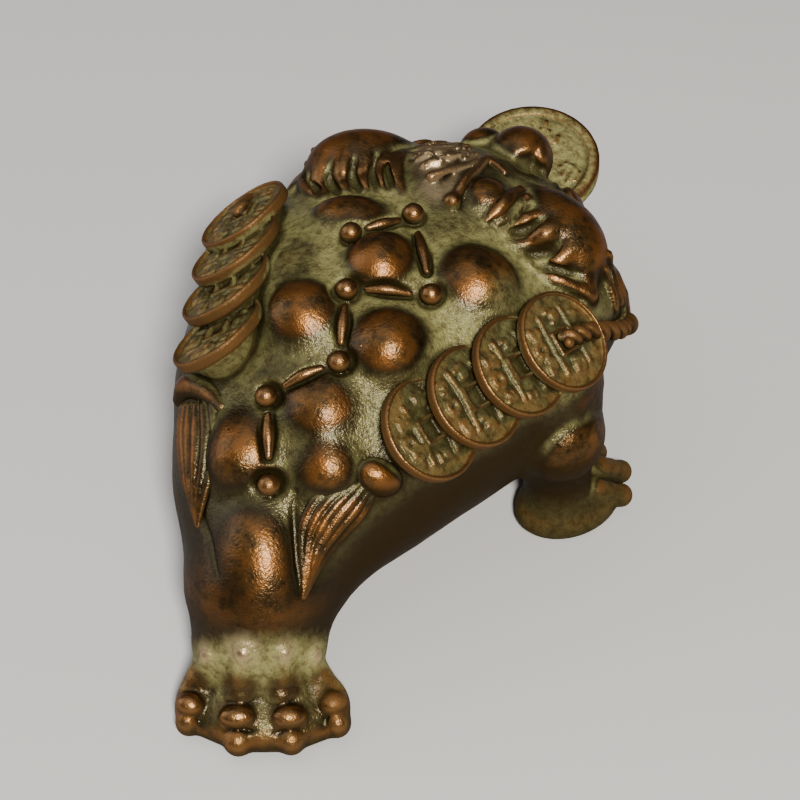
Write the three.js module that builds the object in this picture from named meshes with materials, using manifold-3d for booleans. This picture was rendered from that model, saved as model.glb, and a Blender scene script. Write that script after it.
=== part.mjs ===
// A three-legged money toad, a palm-sized ornament cast in bronze in one piece.
// It crouches on two front feet and one hind foot, with a coin in its mouth and
// a string of coins down each side of its back.
// Millimetres. The toad looks along -Y, +Z is up, and its right side is at -X.
// The origin is on the ground, under the middle of the figure.

import * as THREE from 'three';
import { mergeVertices } from 'three/addons/utils/BufferGeometryUtils.js';
import Module from 'manifold-3d';

const wasm = await Module();
wasm.setup();

// Driving dimensions

const TOAD_LENGTH = 68.4; // from the coin in the mouth to the hind toes

const STRING_COIN_DIAMETER = 9;
const STRING_COIN_THICKNESS = 1.1;
const STRING_COIN_PITCH = 4.7; // from coin to coin along a string
const STRING_COIN_COUNT = 4; // on each side
const COIN_RIM_WIDTH = 0.75;
const COIN_RIM_HEIGHT = 0.4;
const COIN_HOLE_WIDTH = 2;

const MOUTH_COIN_DIAMETER = 12.8;
const MOUTH_COIN_THICKNESS = 1.7;

const ROPE_DIAMETER = 1.6;
const ROPE_TURNS = 1.5;
const BEAD_LENGTH = 4.4;
const BEAD_DIAMETER = 3.2;
const TASSEL_LENGTH = 11.5;
const TASSEL_WIDTH = 4;
const TASSEL_STRANDS = 5;

const STAR_DIAMETER = 1.9;
const LINK_DIAMETER = 0.9;

const EYE_DIAMETER = 6;
const LIP_DIAMETER = 1.7;
const LOCK_DIAMETER = 2;
const LOCK_LENGTH = 5;

const HIND_TOE_DIAMETER = 3.5;
const FRONT_TOE_DIAMETER = 2.8;

// The figure is laid out on a length of 68.4 units, and its pose, proportions and
// carving keep their share of that length.

const UNIT = TOAD_LENGTH / 68.4;
const SKIN_CELL = 2.75 * UNIT; // spacing of the body's facets
const at = (x, y, z = 0) => new THREE.Vector3(x, y, z).multiplyScalar(UNIT);
const SIDES = [-1, 1]; // right, left

// Solids

function solid(geometry) {
  const bare = new THREE.BufferGeometry();
  bare.setAttribute('position', geometry.getAttribute('position'));
  bare.setIndex(geometry.getIndex());
  const closed = mergeVertices(bare, 1e-4);
  return new wasm.Manifold(new wasm.Mesh({
    numProp: 3,
    vertProperties: new Float32Array(closed.getAttribute('position').array),
    triVerts: new Uint32Array(closed.getIndex().array),
  }));
}

// Stands a geometry's own +Z along `axis` and its own +X as near `across` as it goes.
function stand(geometry, place, axis, across = new THREE.Vector3(1, 0, 0)) {
  const z = axis.clone().normalize();
  const y = z.clone().cross(across).normalize();
  const x = y.clone().cross(z);
  const pose = new THREE.Matrix4().makeBasis(x, y, z).setPosition(place);
  return solid(geometry.applyMatrix4(pose));
}

// A dome, ball or pad: a sphere stretched to three half sizes.
function ball(place, radii, sides, axis = new THREE.Vector3(0, 0, 1), across = undefined) {
  const geometry = new THREE.SphereGeometry(1, sides, Math.ceil(sides * 0.6));
  geometry.rotateX(Math.PI / 2).scale(radii.x, radii.y, radii.z);
  return stand(geometry, place, axis, across);
}

const evenRadii = (radius) => new THREE.Vector3(radius, radius, radius);

// A round bar through points, with a radius that may change along it.
function bar(points, radii, steps, sides) {
  return sweep(new THREE.CatmullRomCurve3(points), (t) => {
    const place = t * (radii.length - 1);
    const i = Math.min(Math.floor(place), radii.length - 2);
    return THREE.MathUtils.lerp(radii[i], radii[i + 1], place - i);
  }, steps, sides);
}

// Rings of points round a curve, closed by a cap at both ends. The rings may twist on the way.
function sweep(curve, radiusAt, steps, sides, turns = 0) {
  const frames = curve.computeFrenetFrames(steps, false);
  const points = [];
  const faces = [];
  for (let i = 0; i <= steps; i++) {
    const centre = curve.getPointAt(i / steps);
    const radius = radiusAt(i / steps);
    for (let j = 0; j < sides; j++) {
      const angle = 2 * Math.PI * (j / sides + (turns * i) / steps);
      const spoke = frames.normals[i].clone().multiplyScalar(Math.cos(angle) * radius)
        .addScaledVector(frames.binormals[i], Math.sin(angle) * radius);
      points.push(...centre.clone().add(spoke).toArray());
    }
  }
  for (let i = 0; i < steps; i++) {
    for (let j = 0; j < sides; j++) {
      const a = i * sides + j;
      const b = i * sides + ((j + 1) % sides);
      faces.push(a, b, b + sides, a, b + sides, a + sides);
    }
  }
  for (let j = 1; j < sides - 1; j++) {
    const last = steps * sides;
    faces.push(0, j + 1, j, last, last + j, last + j + 1);
  }
  const geometry = new THREE.BufferGeometry();
  geometry.setAttribute('position', new THREE.Float32BufferAttribute(points, 3));
  geometry.setIndex(faces);
  return solid(geometry);
}

// The body as a field: below zero inside, above zero outside

const blend = (a, b, reach) => {
  const overlap = Math.max(reach - Math.abs(a - b), 0) / reach;
  return Math.min(a, b) - (overlap * overlap * reach) / 4;
};

function egg(centre, radii, reach, turn = 0) {
  const c = Math.cos(turn);
  const s = Math.sin(turn);
  return {
    reach: reach * UNIT,
    depth(x, y, z) {
      const dx = x - centre.x;
      const dy = y - centre.y;
      const u = c * dx + s * dy;
      const v = c * dy - s * dx;
      const w = z - centre.z;
      const near = Math.hypot(u / radii.x, v / radii.y, w / radii.z);
      const slope = Math.hypot(u / radii.x ** 2, v / radii.y ** 2, w / radii.z ** 2);
      return slope > 0 ? (near * (near - 1)) / slope : -Math.min(radii.x, radii.y, radii.z);
    },
  };
}

function limb(from, to, startRadius, endRadius, reach) {
  const way = to.clone().sub(from);
  const span = way.lengthSq();
  return {
    reach: reach * UNIT,
    depth(x, y, z) {
      const px = x - from.x;
      const py = y - from.y;
      const pz = z - from.z;
      const t = THREE.MathUtils.clamp((px * way.x + py * way.y + pz * way.z) / span, 0, 1);
      const radius = THREE.MathUtils.lerp(startRadius, endRadius, t) * UNIT;
      return Math.hypot(px - way.x * t, py - way.y * t, pz - way.z * t) - radius;
    },
  };
}

const BODY_FORMS = [
  egg(at(0.9, -4, 15), at(17.8, 13, 12.6), 1), // chest
  egg(at(2.2, 3.5, 14), at(15.3, 13.5, 11.8), 4), // middle of the back
  egg(at(2.6, 11, 11.4), at(11, 12, 8.8), 4), // rump
  egg(at(1.2, 19, 8.6), at(6.8, 8.5, 6.4), 3), // thigh
  egg(at(0.6, 21, 9.2), at(5.4, 6.5, 5.5), 2, 0.5), // calf
  limb(at(0.6, 22, 7), at(-0.4, 24.4, 5.4), 5.3, 4.6, 3), // ankle
  egg(at(-0.8, 25, 4.4), at(5.5, 3.9, 4.6), 2, 0.48), // heel
  egg(at(-3.2, 28.4, 1.6), at(6.3, 4, 2.5), 2, 0.48), // pad of the hind foot
  limb(at(14, -5, 17.5), at(10.2, 7, 15.8), 5, 5, 3), // bed of the left coins
  limb(at(-11.6, -4.5, 17.6), at(-5.3, 7.2, 15.8), 5, 5, 3), // bed of the right coins
  egg(at(0, -13, 19), at(12, 9, 9), 3), // skull
  egg(at(0, -10.6, 17.5), at(16.4, 10.2, 7), 3), // wide back of the jaw
  egg(at(0, -17, 14), at(11, 6.5, 6), 3), // chin
  egg(at(0, -19, 19), at(8.5, 5.5, 5), 3), // muzzle
  egg(at(-1.9, -22.9, 22.9), at(2.95, 2.95, 2.95), 0.8), // right lobe of the snout
  egg(at(2, -23.3, 21.7), at(2.4, 2.4, 2.4), 0.8), // left lobe of the snout
];

for (const side of SIDES) {
  BODY_FORMS.push(
    egg(at(side * 10, -12, 17), at(6.5, 7, 7), 2), // cheek
    egg(at(side * 9.2, -14, 23.6), at(5.8, 3.8, 4.2), 1, side * 0.35), // brow
    limb(at(side * 12, -12.2, 24.4), at(side * 14.6, -10.2, 22.3), 1.7, 0.8, 0.8), // its tail
    limb(at(side * 14.2, -4, 15), at(side * 15, -3.6, 11), 4.6, 4, 2), // upper arm
    egg(at(side * 16.2, -2.4, 12.4), at(3.6, 4, 4), 0.8), // elbow
    limb(at(side * 15.2, -3.6, 10), at(side * 15.6, -3.9, 3), 3.3, 3, 2), // forearm
    egg(at(side * 16.4, -4.6, 1.2), at(3.9, 5.2, 2.3), 1.5, side * 0.58), // palm
  );
}

const WARTS = [
  // x, y, half width along x and y, share of the half width that stands proud
  [1, -0.8, 2.8, 2.8, 0.75],
  [-6.9, -3.7, 3.7, 3.6, 0.6],
  [5, 6, 3.5, 3.3, 0.65],
  [-3.3, 5.7, 3.3, 3.3, 0.7],
  [-0.5, 12.4, 3.1, 3.3, 0.38],
  [5, 16.8, 3.2, 4, 0.42],
  [-2.9, 15.6, 2.5, 2.5, 0.5],
  [8.6, 2.5, 2.6, 3, 0.4],
  [6.3, -5.5, 3, 1.9, 0.6],
].map(([x, y, halfX, halfY, proud]) => ({
  place: at(x, y), halfX: halfX * UNIT, halfY: halfY * UNIT, proud,
}));

const bodyDepth = (x, y, z) => BODY_FORMS.reduce(
  (depth, form) => blend(depth, form.depth(x, y, z), form.reach), 2 * TOAD_LENGTH);

// Where the skin lies straight below a point of the plan, and which way it faces there.
function seat({ x, y }, depth = bodyDepth, spread = 0.5 * UNIT) {
  const step = 0.5 * UNIT;
  let above = TOAD_LENGTH / 2;
  while (above > step && depth(x, y, above - step) > 0) above -= step;
  let below = above - step;
  for (let i = 0; i < 20; i++) {
    const middle = (above + below) / 2;
    if (depth(x, y, middle) > 0) above = middle;
    else below = middle;
  }
  const point = new THREE.Vector3(x, y, above);
  return { point, normal: slopeAt(point, depth, spread) };
}

// A point a little above or below the skin, over a point of the plan.
function onSkin(plan, lift, depth = bodyDepth) {
  const { point, normal } = seat(plan, depth);
  return point.addScaledVector(normal, lift);
}

// The way out of the body at a point.
function slopeAt({ x, y, z }, depth, spread) {
  return new THREE.Vector3(
    depth(x + spread, y, z) - depth(x - spread, y, z),
    depth(x, y + spread, z) - depth(x, y - spread, z),
    depth(x, y, z + spread) - depth(x, y, z - spread),
  ).normalize();
}

// Moves a point straight in or out, until it is on the skin.
function cling(point, depth = bodyDepth, spread = 0.2 * UNIT) {
  const settled = point.clone();
  for (let i = 0; i < 4; i++) {
    const out = slopeAt(settled, depth, spread);
    settled.addScaledVector(out, -depth(settled.x, settled.y, settled.z));
  }
  return settled;
}

// The body's skin: one corner in each cell that it crosses, and one quad round each edge of the
// grid that it crosses.
function skin(depth, low, high, cell) {
  const count = ['x', 'y', 'z'].map((k) => Math.ceil((high[k] - low[k]) / cell) + 1);
  const stride = [1, count[0], count[0] * count[1]];
  const values = new Float64Array(count[0] * count[1] * count[2]);
  const index = (i, j, k) => i + j * stride[1] + k * stride[2];
  forCells(count, 0, (i, j, k) => {
    values[index(i, j, k)] = depth(low.x + i * cell, low.y + j * cell, low.z + k * cell);
  });
  const corners = [];
  const cornerOf = new Map();
  forCells(count, 0, (i, j, k) => {
    if (i === count[0] - 1 || j === count[1] - 1 || k === count[2] - 1) return;
    const crossings = cellCrossings(values, index(i, j, k), stride);
    if (crossings.length === 0) return;
    const middle = crossings.reduce((sum, point) => sum.add(point), new THREE.Vector3())
      .divideScalar(crossings.length);
    const corner = new THREE.Vector3(i, j, k).add(middle).multiplyScalar(cell).add(low);
    cornerOf.set(index(i, j, k), corners.length / 3);
    const move = cling(corner, depth).sub(corner).clampLength(0, cell * 0.45);
    corners.push(...corner.add(move).toArray());
  });
  const faces = [];
  forCells(count, 1, (i, j, k) => {
    const here = index(i, j, k);
    const inside = values[here] < 0;
    for (let axis = 0; axis < 3; axis++) {
      if (inside === values[here + stride[axis]] < 0) continue;
      const u = stride[(axis + 1) % 3];
      const v = stride[(axis + 2) % 3];
      const ring = [here - u - v, here - v, here, here - u].map((n) => cornerOf.get(n));
      if (!inside) ring.reverse();
      faces.push(...splitQuad(ring, corners));
    }
  });
  const geometry = new THREE.BufferGeometry();
  geometry.setAttribute('position', new THREE.Float32BufferAttribute(corners, 3));
  geometry.setIndex(faces);
  return geometry;
}

// Calls `visit` for each node of the grid that is `margin` or more away from its faces.
function forCells(count, margin, visit) {
  for (let k = margin; k < count[2] - margin; k++) {
    for (let j = margin; j < count[1] - margin; j++) {
      for (let i = margin; i < count[0] - margin; i++) visit(i, j, k);
    }
  }
}

// Points, in shares of a cell, where the skin crosses the cell's twelve edges.
function cellCrossings(values, start, stride) {
  const crossings = [];
  for (let axis = 0; axis < 3; axis++) {
    const u = (axis + 1) % 3;
    const v = (axis + 2) % 3;
    for (const [a, b] of [[0, 0], [1, 0], [0, 1], [1, 1]]) {
      const from = start + a * stride[u] + b * stride[v];
      const first = values[from];
      const second = values[from + stride[axis]];
      if (first < 0 === second < 0) continue;
      const point = new THREE.Vector3();
      point.setComponent(axis, first / (first - second));
      point.setComponent(u, a);
      point.setComponent(v, b);
      crossings.push(point);
    }
  }
  return crossings;
}

// Cuts a quad along its shorter diagonal.
function splitQuad([a, b, c, d], corners) {
  const corner = (n) => new THREE.Vector3().fromArray(corners, n * 3);
  const acrossAC = corner(a).distanceTo(corner(c));
  const acrossBD = corner(b).distanceTo(corner(d));
  return acrossAC < acrossBD ? [a, b, c, a, c, d] : [a, b, d, b, c, d];
}

const pieces = [];
pieces.push(solid(skin(bodyDepth, at(-25, -30, -5), at(25, 38, 33), SKIN_CELL)));

// Warts: domes of all sizes over the back

const wartForms = [];
for (const wart of WARTS) {
  const { point, normal } = seat(wart.place, bodyDepth, 2 * UNIT);
  const height = Math.min(wart.halfX, wart.halfY);
  const centre = point.addScaledVector(normal, height * (wart.proud - 1));
  const radii = new THREE.Vector3(wart.halfX, wart.halfY, height);
  pieces.push(ball(centre, radii, 8, normal));
  wartForms.push(egg(centre, radii, 0.5));
}

const backDepth = (x, y, z) => wartForms.reduce(
  (depth, form) => blend(depth, form.depth(x, y, z), form.reach), bodyDepth(x, y, z));

// Seven stars on the back, as balls joined by links

const STARS = [
  [4.6, -2.5], [1, -7], [-4.4, 0.2], [2.1, 3.2], [-0.4, 9], [4.2, 13.2], [1.2, 18.6],
].map(([x, y]) => at(x, y));

const stars = STARS.map((star) => onSkin(star, STAR_DIAMETER * 0.2, backDepth));
for (const star of stars) pieces.push(ball(star, evenRadii(STAR_DIAMETER / 2), 6));
for (let i = 1; i < stars.length; i++) {
  const [from, to] = [stars[i - 1], stars[i]];
  const middle = onSkin(from.clone().lerp(to, 0.5), LINK_DIAMETER * 0.2, backDepth);
  pieces.push(bar([from, middle, to], [LINK_DIAMETER / 2, LINK_DIAMETER / 2], 2, 4));
}

// Coins: a disc with a raised rim, on a plug of solid metal, with a square hole

function coinBlank(diameter, thickness, plug, segments) {
  const radius = diameter / 2;
  const field = radius - COIN_RIM_WIDTH;
  const face = thickness / 2;
  const profile = [
    [0, -plug], [radius * 0.8, -plug], [radius, -face], [radius, face],
    [field, face], [field - COIN_RIM_HEIGHT, face - COIN_RIM_HEIGHT], [0, face - COIN_RIM_HEIGHT],
  ].map(([r, z]) => new THREE.Vector2(r, z));
  return new THREE.LatheGeometry(profile, segments).rotateX(Math.PI / 2);
}

function coin(diameter, thickness, plug, segments, centre, axis, across) {
  const blank = stand(coinBlank(diameter, thickness, plug, segments), centre, axis, across);
  const hole = new THREE.BoxGeometry(COIN_HOLE_WIDTH, COIN_HOLE_WIDTH, 2 * COIN_RIM_HEIGHT);
  const floor = centre.clone().addScaledVector(axis, thickness / 2 - COIN_RIM_HEIGHT);
  return blank.subtract(stand(hole, floor, axis, across));
}

// Each string starts behind the brow and runs back. Its coins lean out from the spine, and each
// one rests on the next.

const STRINGS = [
  { start: at(-14.6, -3.5), heading: at(6, 12.8), outward: 0.64, tassel: at(1.8, 9.5, -6.9) },
  { start: at(16, -4), heading: at(-5.2, 13.4), outward: 0.66, tassel: at(-5.2, 9.3, -5.4) },
];

function coinString({ start, heading, outward }, side) {
  const along = heading.clone().normalize();
  const face = new THREE.Vector3(side * Math.sin(outward), 0, Math.cos(outward));
  const coins = [];
  for (let i = 0; i < STRING_COIN_COUNT; i++) {
    const plan = start.clone().addScaledVector(along, i * STRING_COIN_PITCH);
    const centre = onSkin(plan, STRING_COIN_THICKNESS * 0.7);
    coins.push({ centre, face, along });
  }
  return coins;
}

const strings = STRINGS.map((string, n) => coinString(string, SIDES[n]));
for (const { centre, face, along } of strings.flat()) {
  const plug = STRING_COIN_DIAMETER * 0.4;
  pieces.push(coin(STRING_COIN_DIAMETER, STRING_COIN_THICKNESS, plug, 12, centre, face, along));
}

// The twisted rope from the first coin's hole, over its rim, to a knob at the corner of the mouth

const MOUTH_CORNER = at(16.9, -13.8, 17.4);

SIDES.forEach((side, n) => {
  const { centre, face } = strings[n][0];
  const corner = MOUTH_CORNER.clone().setX(side * MOUTH_CORNER.x);
  const out = corner.clone().sub(centre).normalize();
  const overRim = centre.clone().addScaledVector(out, STRING_COIN_DIAMETER * 0.4)
    .addScaledVector(face, STRING_COIN_THICKNESS / 2 + ROPE_DIAMETER * 0.4);
  const path = new THREE.CatmullRomCurve3([centre, overRim, corner]);
  pieces.push(sweep(path, () => ROPE_DIAMETER / 2, 7, 4, ROPE_TURNS));
  pieces.push(ball(corner, evenRadii(ROPE_DIAMETER * 0.75), 6));
});

// The bead and the tassel below the last coin

const TASSEL_SPREAD = [[0.1, 0.4], [0.55, 1], [1, 0.2]]; // reach along it, and width there

strings.forEach((coins, n) => {
  const last = coins[coins.length - 1];
  const beadPlan = last.centre.clone().addScaledVector(last.along, STRING_COIN_DIAMETER * 0.55);
  const { point, normal } = seat(beadPlan);
  const beadRadii = new THREE.Vector3(BEAD_LENGTH / 2, BEAD_DIAMETER / 2, BEAD_DIAMETER / 2);
  const across = normal.clone().cross(last.along).normalize();
  const bead = point.clone().addScaledVector(normal, BEAD_DIAMETER * 0.15);
  pieces.push(ball(bead, beadRadii, 8, normal, across));
  const heading = STRINGS[n].tassel.clone().normalize();
  const sideways = normal.clone().cross(heading).normalize();
  for (let i = 0; i < TASSEL_STRANDS; i++) {
    const share = i / (TASSEL_STRANDS - 1) - 0.5;
    const points = TASSEL_SPREAD.map(([reach, spread]) => cling(point.clone()
      .addScaledVector(heading, reach * TASSEL_LENGTH)
      .addScaledVector(sideways, share * spread * TASSEL_WIDTH)));
    const thick = TASSEL_WIDTH / TASSEL_STRANDS;
    pieces.push(bar(points, [thick * 0.6, thick * 0.85, thick * 0.35], 3, 4));
  }
});

// The coin in the mouth, held between the lips

const MOUTH_COIN_CENTRE = at(-1, -28, 18);
const MOUTH_COIN_FACE = new THREE.Vector3(-0.05, 0.18, 1).normalize();
pieces.push(coin(MOUTH_COIN_DIAMETER, MOUTH_COIN_THICKNESS, MOUTH_COIN_THICKNESS * 0.6, 20,
  MOUTH_COIN_CENTRE, MOUTH_COIN_FACE, new THREE.Vector3(1, 0, 0)));

// Where a level ray from the middle of the head meets the face, at a bearing from straight ahead.
function faceSeat(bearing, height) {
  const out = new THREE.Vector3(Math.sin(bearing), -Math.cos(bearing), 0);
  const middle = at(0, -13, height);
  let near = 0;
  let far = 20 * UNIT;
  for (let i = 0; i < 24; i++) {
    const reach = (near + far) / 2;
    const { x, y, z } = middle.clone().addScaledVector(out, reach);
    if (bodyDepth(x, y, z) < 0) near = reach;
    else far = reach;
  }
  const point = middle.addScaledVector(out, near);
  return { point, normal: slopeAt(point, bodyDepth, UNIT) };
}

// A ridge along the face, from bearing to bearing, at a height that falls away to the sides.
function faceRidge(from, to, height, drop, shares, steps) {
  const points = [];
  for (let i = 0; i <= steps; i++) {
    const bearing = THREE.MathUtils.lerp(from, to, i / steps);
    points.push(faceSeat(bearing, height - drop * bearing ** 2).point);
  }
  pieces.push(bar(points, shares.map((share) => share * LIP_DIAMETER), steps, 4));
}

const UPPER_LIP = { height: 19.4, drop: 0.9 };
const LOWER_LIP = { height: 16.4, drop: -0.3 };
const LIP_REACH = 1.5; // radians each way from straight ahead
for (const { height, drop } of [UPPER_LIP, LOWER_LIP]) {
  faceRidge(-LIP_REACH, LIP_REACH, height, drop, [0.25, 0.5, 0.5, 0.5, 0.25], 5);
}

// Eyes under the brows, and folds of the cheeks

for (const side of SIDES) {
  const eye = faceSeat(side * 0.74, 20.6);
  const eyeCentre = eye.point.addScaledVector(eye.normal, -EYE_DIAMETER * 0.28);
  pieces.push(ball(eyeCentre, evenRadii(EYE_DIAMETER / 2), 8, eye.normal));
  faceRidge(side * 1.05, side * 1.6, 21.4, 0.9, [0.3, 0.5, 0.25], 3);
  faceRidge(side * 1, side * 1.55, 14, -0.2, [0.3, 0.5, 0.25], 3);
}

// Brows: locks combed back from an arch over each eye

const BROW_ARCH = [[4.4, -15.4], [7.4, -16], [10.4, -15.2], [13, -13.4], [14.6, -11.4]];
const BROW_LOCKS = 5;

for (const side of SIDES) {
  const arch = new THREE.CatmullRomCurve3(BROW_ARCH.map(([x, y]) => at(side * x, y)));
  for (let i = 0; i < BROW_LOCKS; i++) {
    const share = i / (BROW_LOCKS - 1);
    const root = arch.getPointAt(share);
    const heading = at(side * THREE.MathUtils.lerp(-0.15, -0.45, share), 1).normalize();
    const points = [0, 0.5, 1].map((reach) => onSkin(
      root.clone().addScaledVector(heading, reach * LOCK_LENGTH), -LOCK_DIAMETER * 0.1));
    pieces.push(bar(points, [0.5, 0.55, 0.25].map((half) => half * LOCK_DIAMETER), 2, 5));
  }
}

// Crown: a rough plate between the brows, with ridges running back from its peak

const CROWN_PEAK = [-2, -15.2];
const CROWN_RIDGES = [
  // tip and middle of each
  [[3.7, -14.2], [1, -15.2]],
  [[1.6, -11.2], [-0.2, -13.2]],
  [[-1.6, -9.6], [-2, -12.4]],
];
for (const [tip, middle] of CROWN_RIDGES) {
  const points = [tip, middle, CROWN_PEAK].map(([x, y], i) => onSkin(
    at(x, y), LOCK_DIAMETER * 0.25 * i));
  pieces.push(bar(points, [0.4, 0.5, 0.5].map((half) => half * LOCK_DIAMETER), 2, 5));
}

// Toes: each one swells to a knuckle and bends down to its tip

function toe(spots, diameter) {
  const radii = [0.3, 0.45, 0.52, 0.42, 0.3].map((half) => half * diameter);
  pieces.push(bar(spots, radii, 4, 6));
}

const HIND_TOES = [
  // root, knuckle and tip
  [[1.4, 27.2, 6], [1.8, 31.6, 3.1], [1.7, 33, 0.9]],
  [[-1, 26.8, 6.6], [-2.3, 31, 3.3], [-3, 32.7, 0.9]],
  [[-3.4, 25.6, 6.4], [-6, 29, 3.3], [-6.8, 30.5, 0.9]],
  [[-5, 24, 6], [-8.4, 26.2, 3.1], [-9.5, 27.3, 0.9]],
];
for (const spots of HIND_TOES) toe(spots.map((spot) => at(...spot)), HIND_TOE_DIAMETER);

const FRONT_TOES = [
  // root, knuckle and tip, on the left side
  [[16, -3, 4], [18.9, -5.6, 2.8], [21, -7.7, 0.9]],
  [[15.6, -4, 4.4], [18.2, -8.2, 2.8], [19.6, -10.4, 0.9]],
  [[14.8, -4.4, 4.2], [15.8, -9.2, 2.7], [16.5, -11.4, 0.9]],
  [[14, -4, 3.6], [13.4, -8.2, 2.4], [13.4, -10.2, 0.9]],
];
for (const side of SIDES) {
  for (const spots of FRONT_TOES) {
    toe(spots.map(([x, y, z]) => at(side * x, y, z)), FRONT_TOE_DIAMETER);
  }
}

// One casting, cut level under the feet

const cast = wasm.Manifold.union(pieces);
const ground = new THREE.BoxGeometry(2 * TOAD_LENGTH, 2 * TOAD_LENGTH, TOAD_LENGTH);
ground.translate(0, 0, -TOAD_LENGTH / 2);
const { vertProperties, triVerts, numProp } = cast.subtract(solid(ground)).getMesh();
const geometry = new THREE.BufferGeometry();
geometry.setAttribute('position', new THREE.Float32BufferAttribute(vertProperties, numProp));
geometry.setIndex([...triVerts]);
geometry.computeVertexNormals();

const bronze = new THREE.MeshStandardMaterial({ color: 0x6b4326, roughness: 0.42, metalness: 0.9 });
const toad = new THREE.Mesh(geometry, bronze);
toad.name = 'toad';

const figure = new THREE.Group();
figure.add(toad);

export default figure;
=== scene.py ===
# %% [markdown]
# # A three-legged money toad in cast bronze
#
# A money toad sits on a desk or by a door and holds a coin in its mouth for luck. It is a
# small bronze casting, so its shape is soft everywhere: each wart, lock and coin grows
# out of the body with a little fillet. We could sculpt such a thing by hand with brushes,
# or push round a subdivided mesh. This lesson builds it as a field of distances instead,
# because there the fillets come by themselves and every number can be changed later.
#
# The imported part gives us the frame and the size to keep to. We import it first and bake its
# placement into its meshes.

# %% Start from the imported part
import math

import bpy
import numpy as np
import openvdb
from mathutils import Matrix, Vector


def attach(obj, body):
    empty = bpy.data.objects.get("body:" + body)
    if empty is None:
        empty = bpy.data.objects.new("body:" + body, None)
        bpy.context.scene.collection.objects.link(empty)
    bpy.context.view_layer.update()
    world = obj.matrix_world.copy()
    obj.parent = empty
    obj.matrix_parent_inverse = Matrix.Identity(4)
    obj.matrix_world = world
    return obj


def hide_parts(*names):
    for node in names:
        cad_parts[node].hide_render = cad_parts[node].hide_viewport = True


MM = 0.001
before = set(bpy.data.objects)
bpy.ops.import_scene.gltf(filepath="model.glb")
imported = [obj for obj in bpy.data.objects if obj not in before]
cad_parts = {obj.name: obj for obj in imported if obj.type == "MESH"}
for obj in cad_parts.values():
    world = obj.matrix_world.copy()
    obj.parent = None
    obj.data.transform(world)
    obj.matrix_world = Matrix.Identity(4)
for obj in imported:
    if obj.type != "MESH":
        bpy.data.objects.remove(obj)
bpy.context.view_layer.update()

# %% [markdown]
# ## Pellets
#
# A sculptor in wax adds pellets and rolls. Warts, brows and muscles are pellets, and our
# form for them is an egg. It knows how far any point is from its surface: below zero
# inside, above zero outside. It also knows the box that it fits in, so that we work on no
# more points than we have to. Metaballs would be the ready-made tool, but they give no
# say over the width of each seam. All lengths here are millimetres.


# %% An egg as a form
def unit(v):
    v = np.asarray(v, float)
    return v / np.linalg.norm(v)


class Egg:
    """A ball stretched to three radii. Its x and y may turn about z, or follow given axes."""

    def __init__(self, centre, radii, turn=0.0, axes=None):
        self.centre, self.radii = np.asarray(centre, float), np.asarray(radii, float)
        c, s = math.cos(turn), math.sin(turn)
        self.axes = np.array([[c, s, 0], [-s, c, 0], [0, 0, 1]]) if axes is None else axes
        reach = np.sqrt(((self.axes * self.radii[:, None]) ** 2).sum(0))
        self.low, self.high = self.centre - reach, self.centre + reach

    def depth(self, x, y, z):
        dx, dy, dz = x - self.centre[0], y - self.centre[1], z - self.centre[2]
        near, slope = 0, 1e-9
        for axis, radius in zip(self.axes, self.radii):
            along = (dx * axis[0] + dy * axis[1] + dz * axis[2]) / radius
            near = near + along ** 2
            slope = slope + (along / radius) ** 2
        near = np.sqrt(near)
        return near * (near - 1) / np.sqrt(slope)


ball = Egg((0, 0, 0), (2, 2, 2))
print("3 mm from the middle of a ball of radius 2 mm:", round(ball.depth(3, 0, 0), 2), "mm outside")

# %% [markdown]
# ## Rolls
#
# Legs, ribs and ropes are rolls, and a groove is a roll that is taken away. One form
# serves for all of them: limbs in a chain, with a radius at each joint. A bevelled curve
# looks the same, but it is a surface only and can't tell how far off a point is.

# %% A chain of limbs as a form
FAR = 60.0


class Chain:
    """Round limbs joined end to end, with a radius at each joint."""

    def __init__(self, points, radii):
        self.points = np.asarray(points, float)
        self.radii = np.broadcast_to(np.asarray(radii, float), len(self.points))
        self.low = (self.points - self.radii[:, None]).min(0)
        self.high = (self.points + self.radii[:, None]).max(0)

    def depth(self, x, y, z):
        nearest = FAR
        ends = zip(self.points, self.points[1:], self.radii, self.radii[1:])
        for a, b, ra, rb in ends:
            d = b - a
            px, py, pz = x - a[0], y - a[1], z - a[2]
            t = np.clip((px * d[0] + py * d[1] + pz * d[2]) / (d @ d + 1e-12), 0, 1)
            away = np.sqrt((px - d[0] * t) ** 2 + (py - d[1] * t) ** 2 + (pz - d[2] * t) ** 2)
            nearest = np.minimum(nearest, away - (ra + (rb - ra) * t))
        return nearest


def limb(a, b, ra, rb):
    return Chain([a, b], [ra, rb])


leg = limb((0, 0, 0), (4, 0, 0), 1, 1)
print("3 mm beside a limb of radius 1 mm:", round(leg.depth(2, 3, 0), 2), "mm outside")

# %% [markdown]
# ## Smooth paths
#
# A lock or a toe bends without corners. We give a few points, and a smooth curve is drawn
# through them and through their radii. Bezier handles could do it too, but each would have
# to be set. A Catmull-Rom curve needs the points alone and passes through all of them.


# %% A smooth chain
def smooth(points, radii, steps=5):
    """A chain through a smooth curve: Catmull-Rom through the points and the radii."""
    p = np.column_stack([np.asarray(points, float),
                         np.broadcast_to(np.asarray(radii, float), len(points))])
    p = np.vstack([2 * p[0] - p[1], p, 2 * p[-1] - p[-2]])
    t = np.linspace(0, 1, steps, endpoint=False)[:, None]
    rows = [0.5 * (2 * b + (c - a) * t + (2 * a - 5 * b + 4 * c - d) * t ** 2
                   + (3 * b - a - 3 * c + d) * t ** 3)
            for a, b, c, d in zip(p, p[1:], p[2:], p[3:])]
    rows = np.vstack(rows + [p[-2:-1]])
    return Chain(rows[:, :3], np.maximum(rows[:, 3], 0.05))


lock = smooth([(0, 0, 0), (2, 0, 0), (3, 1, 0), (3, 3, 0)], 0.5)
print("4 points of a lock become", len(lock.points))

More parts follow.
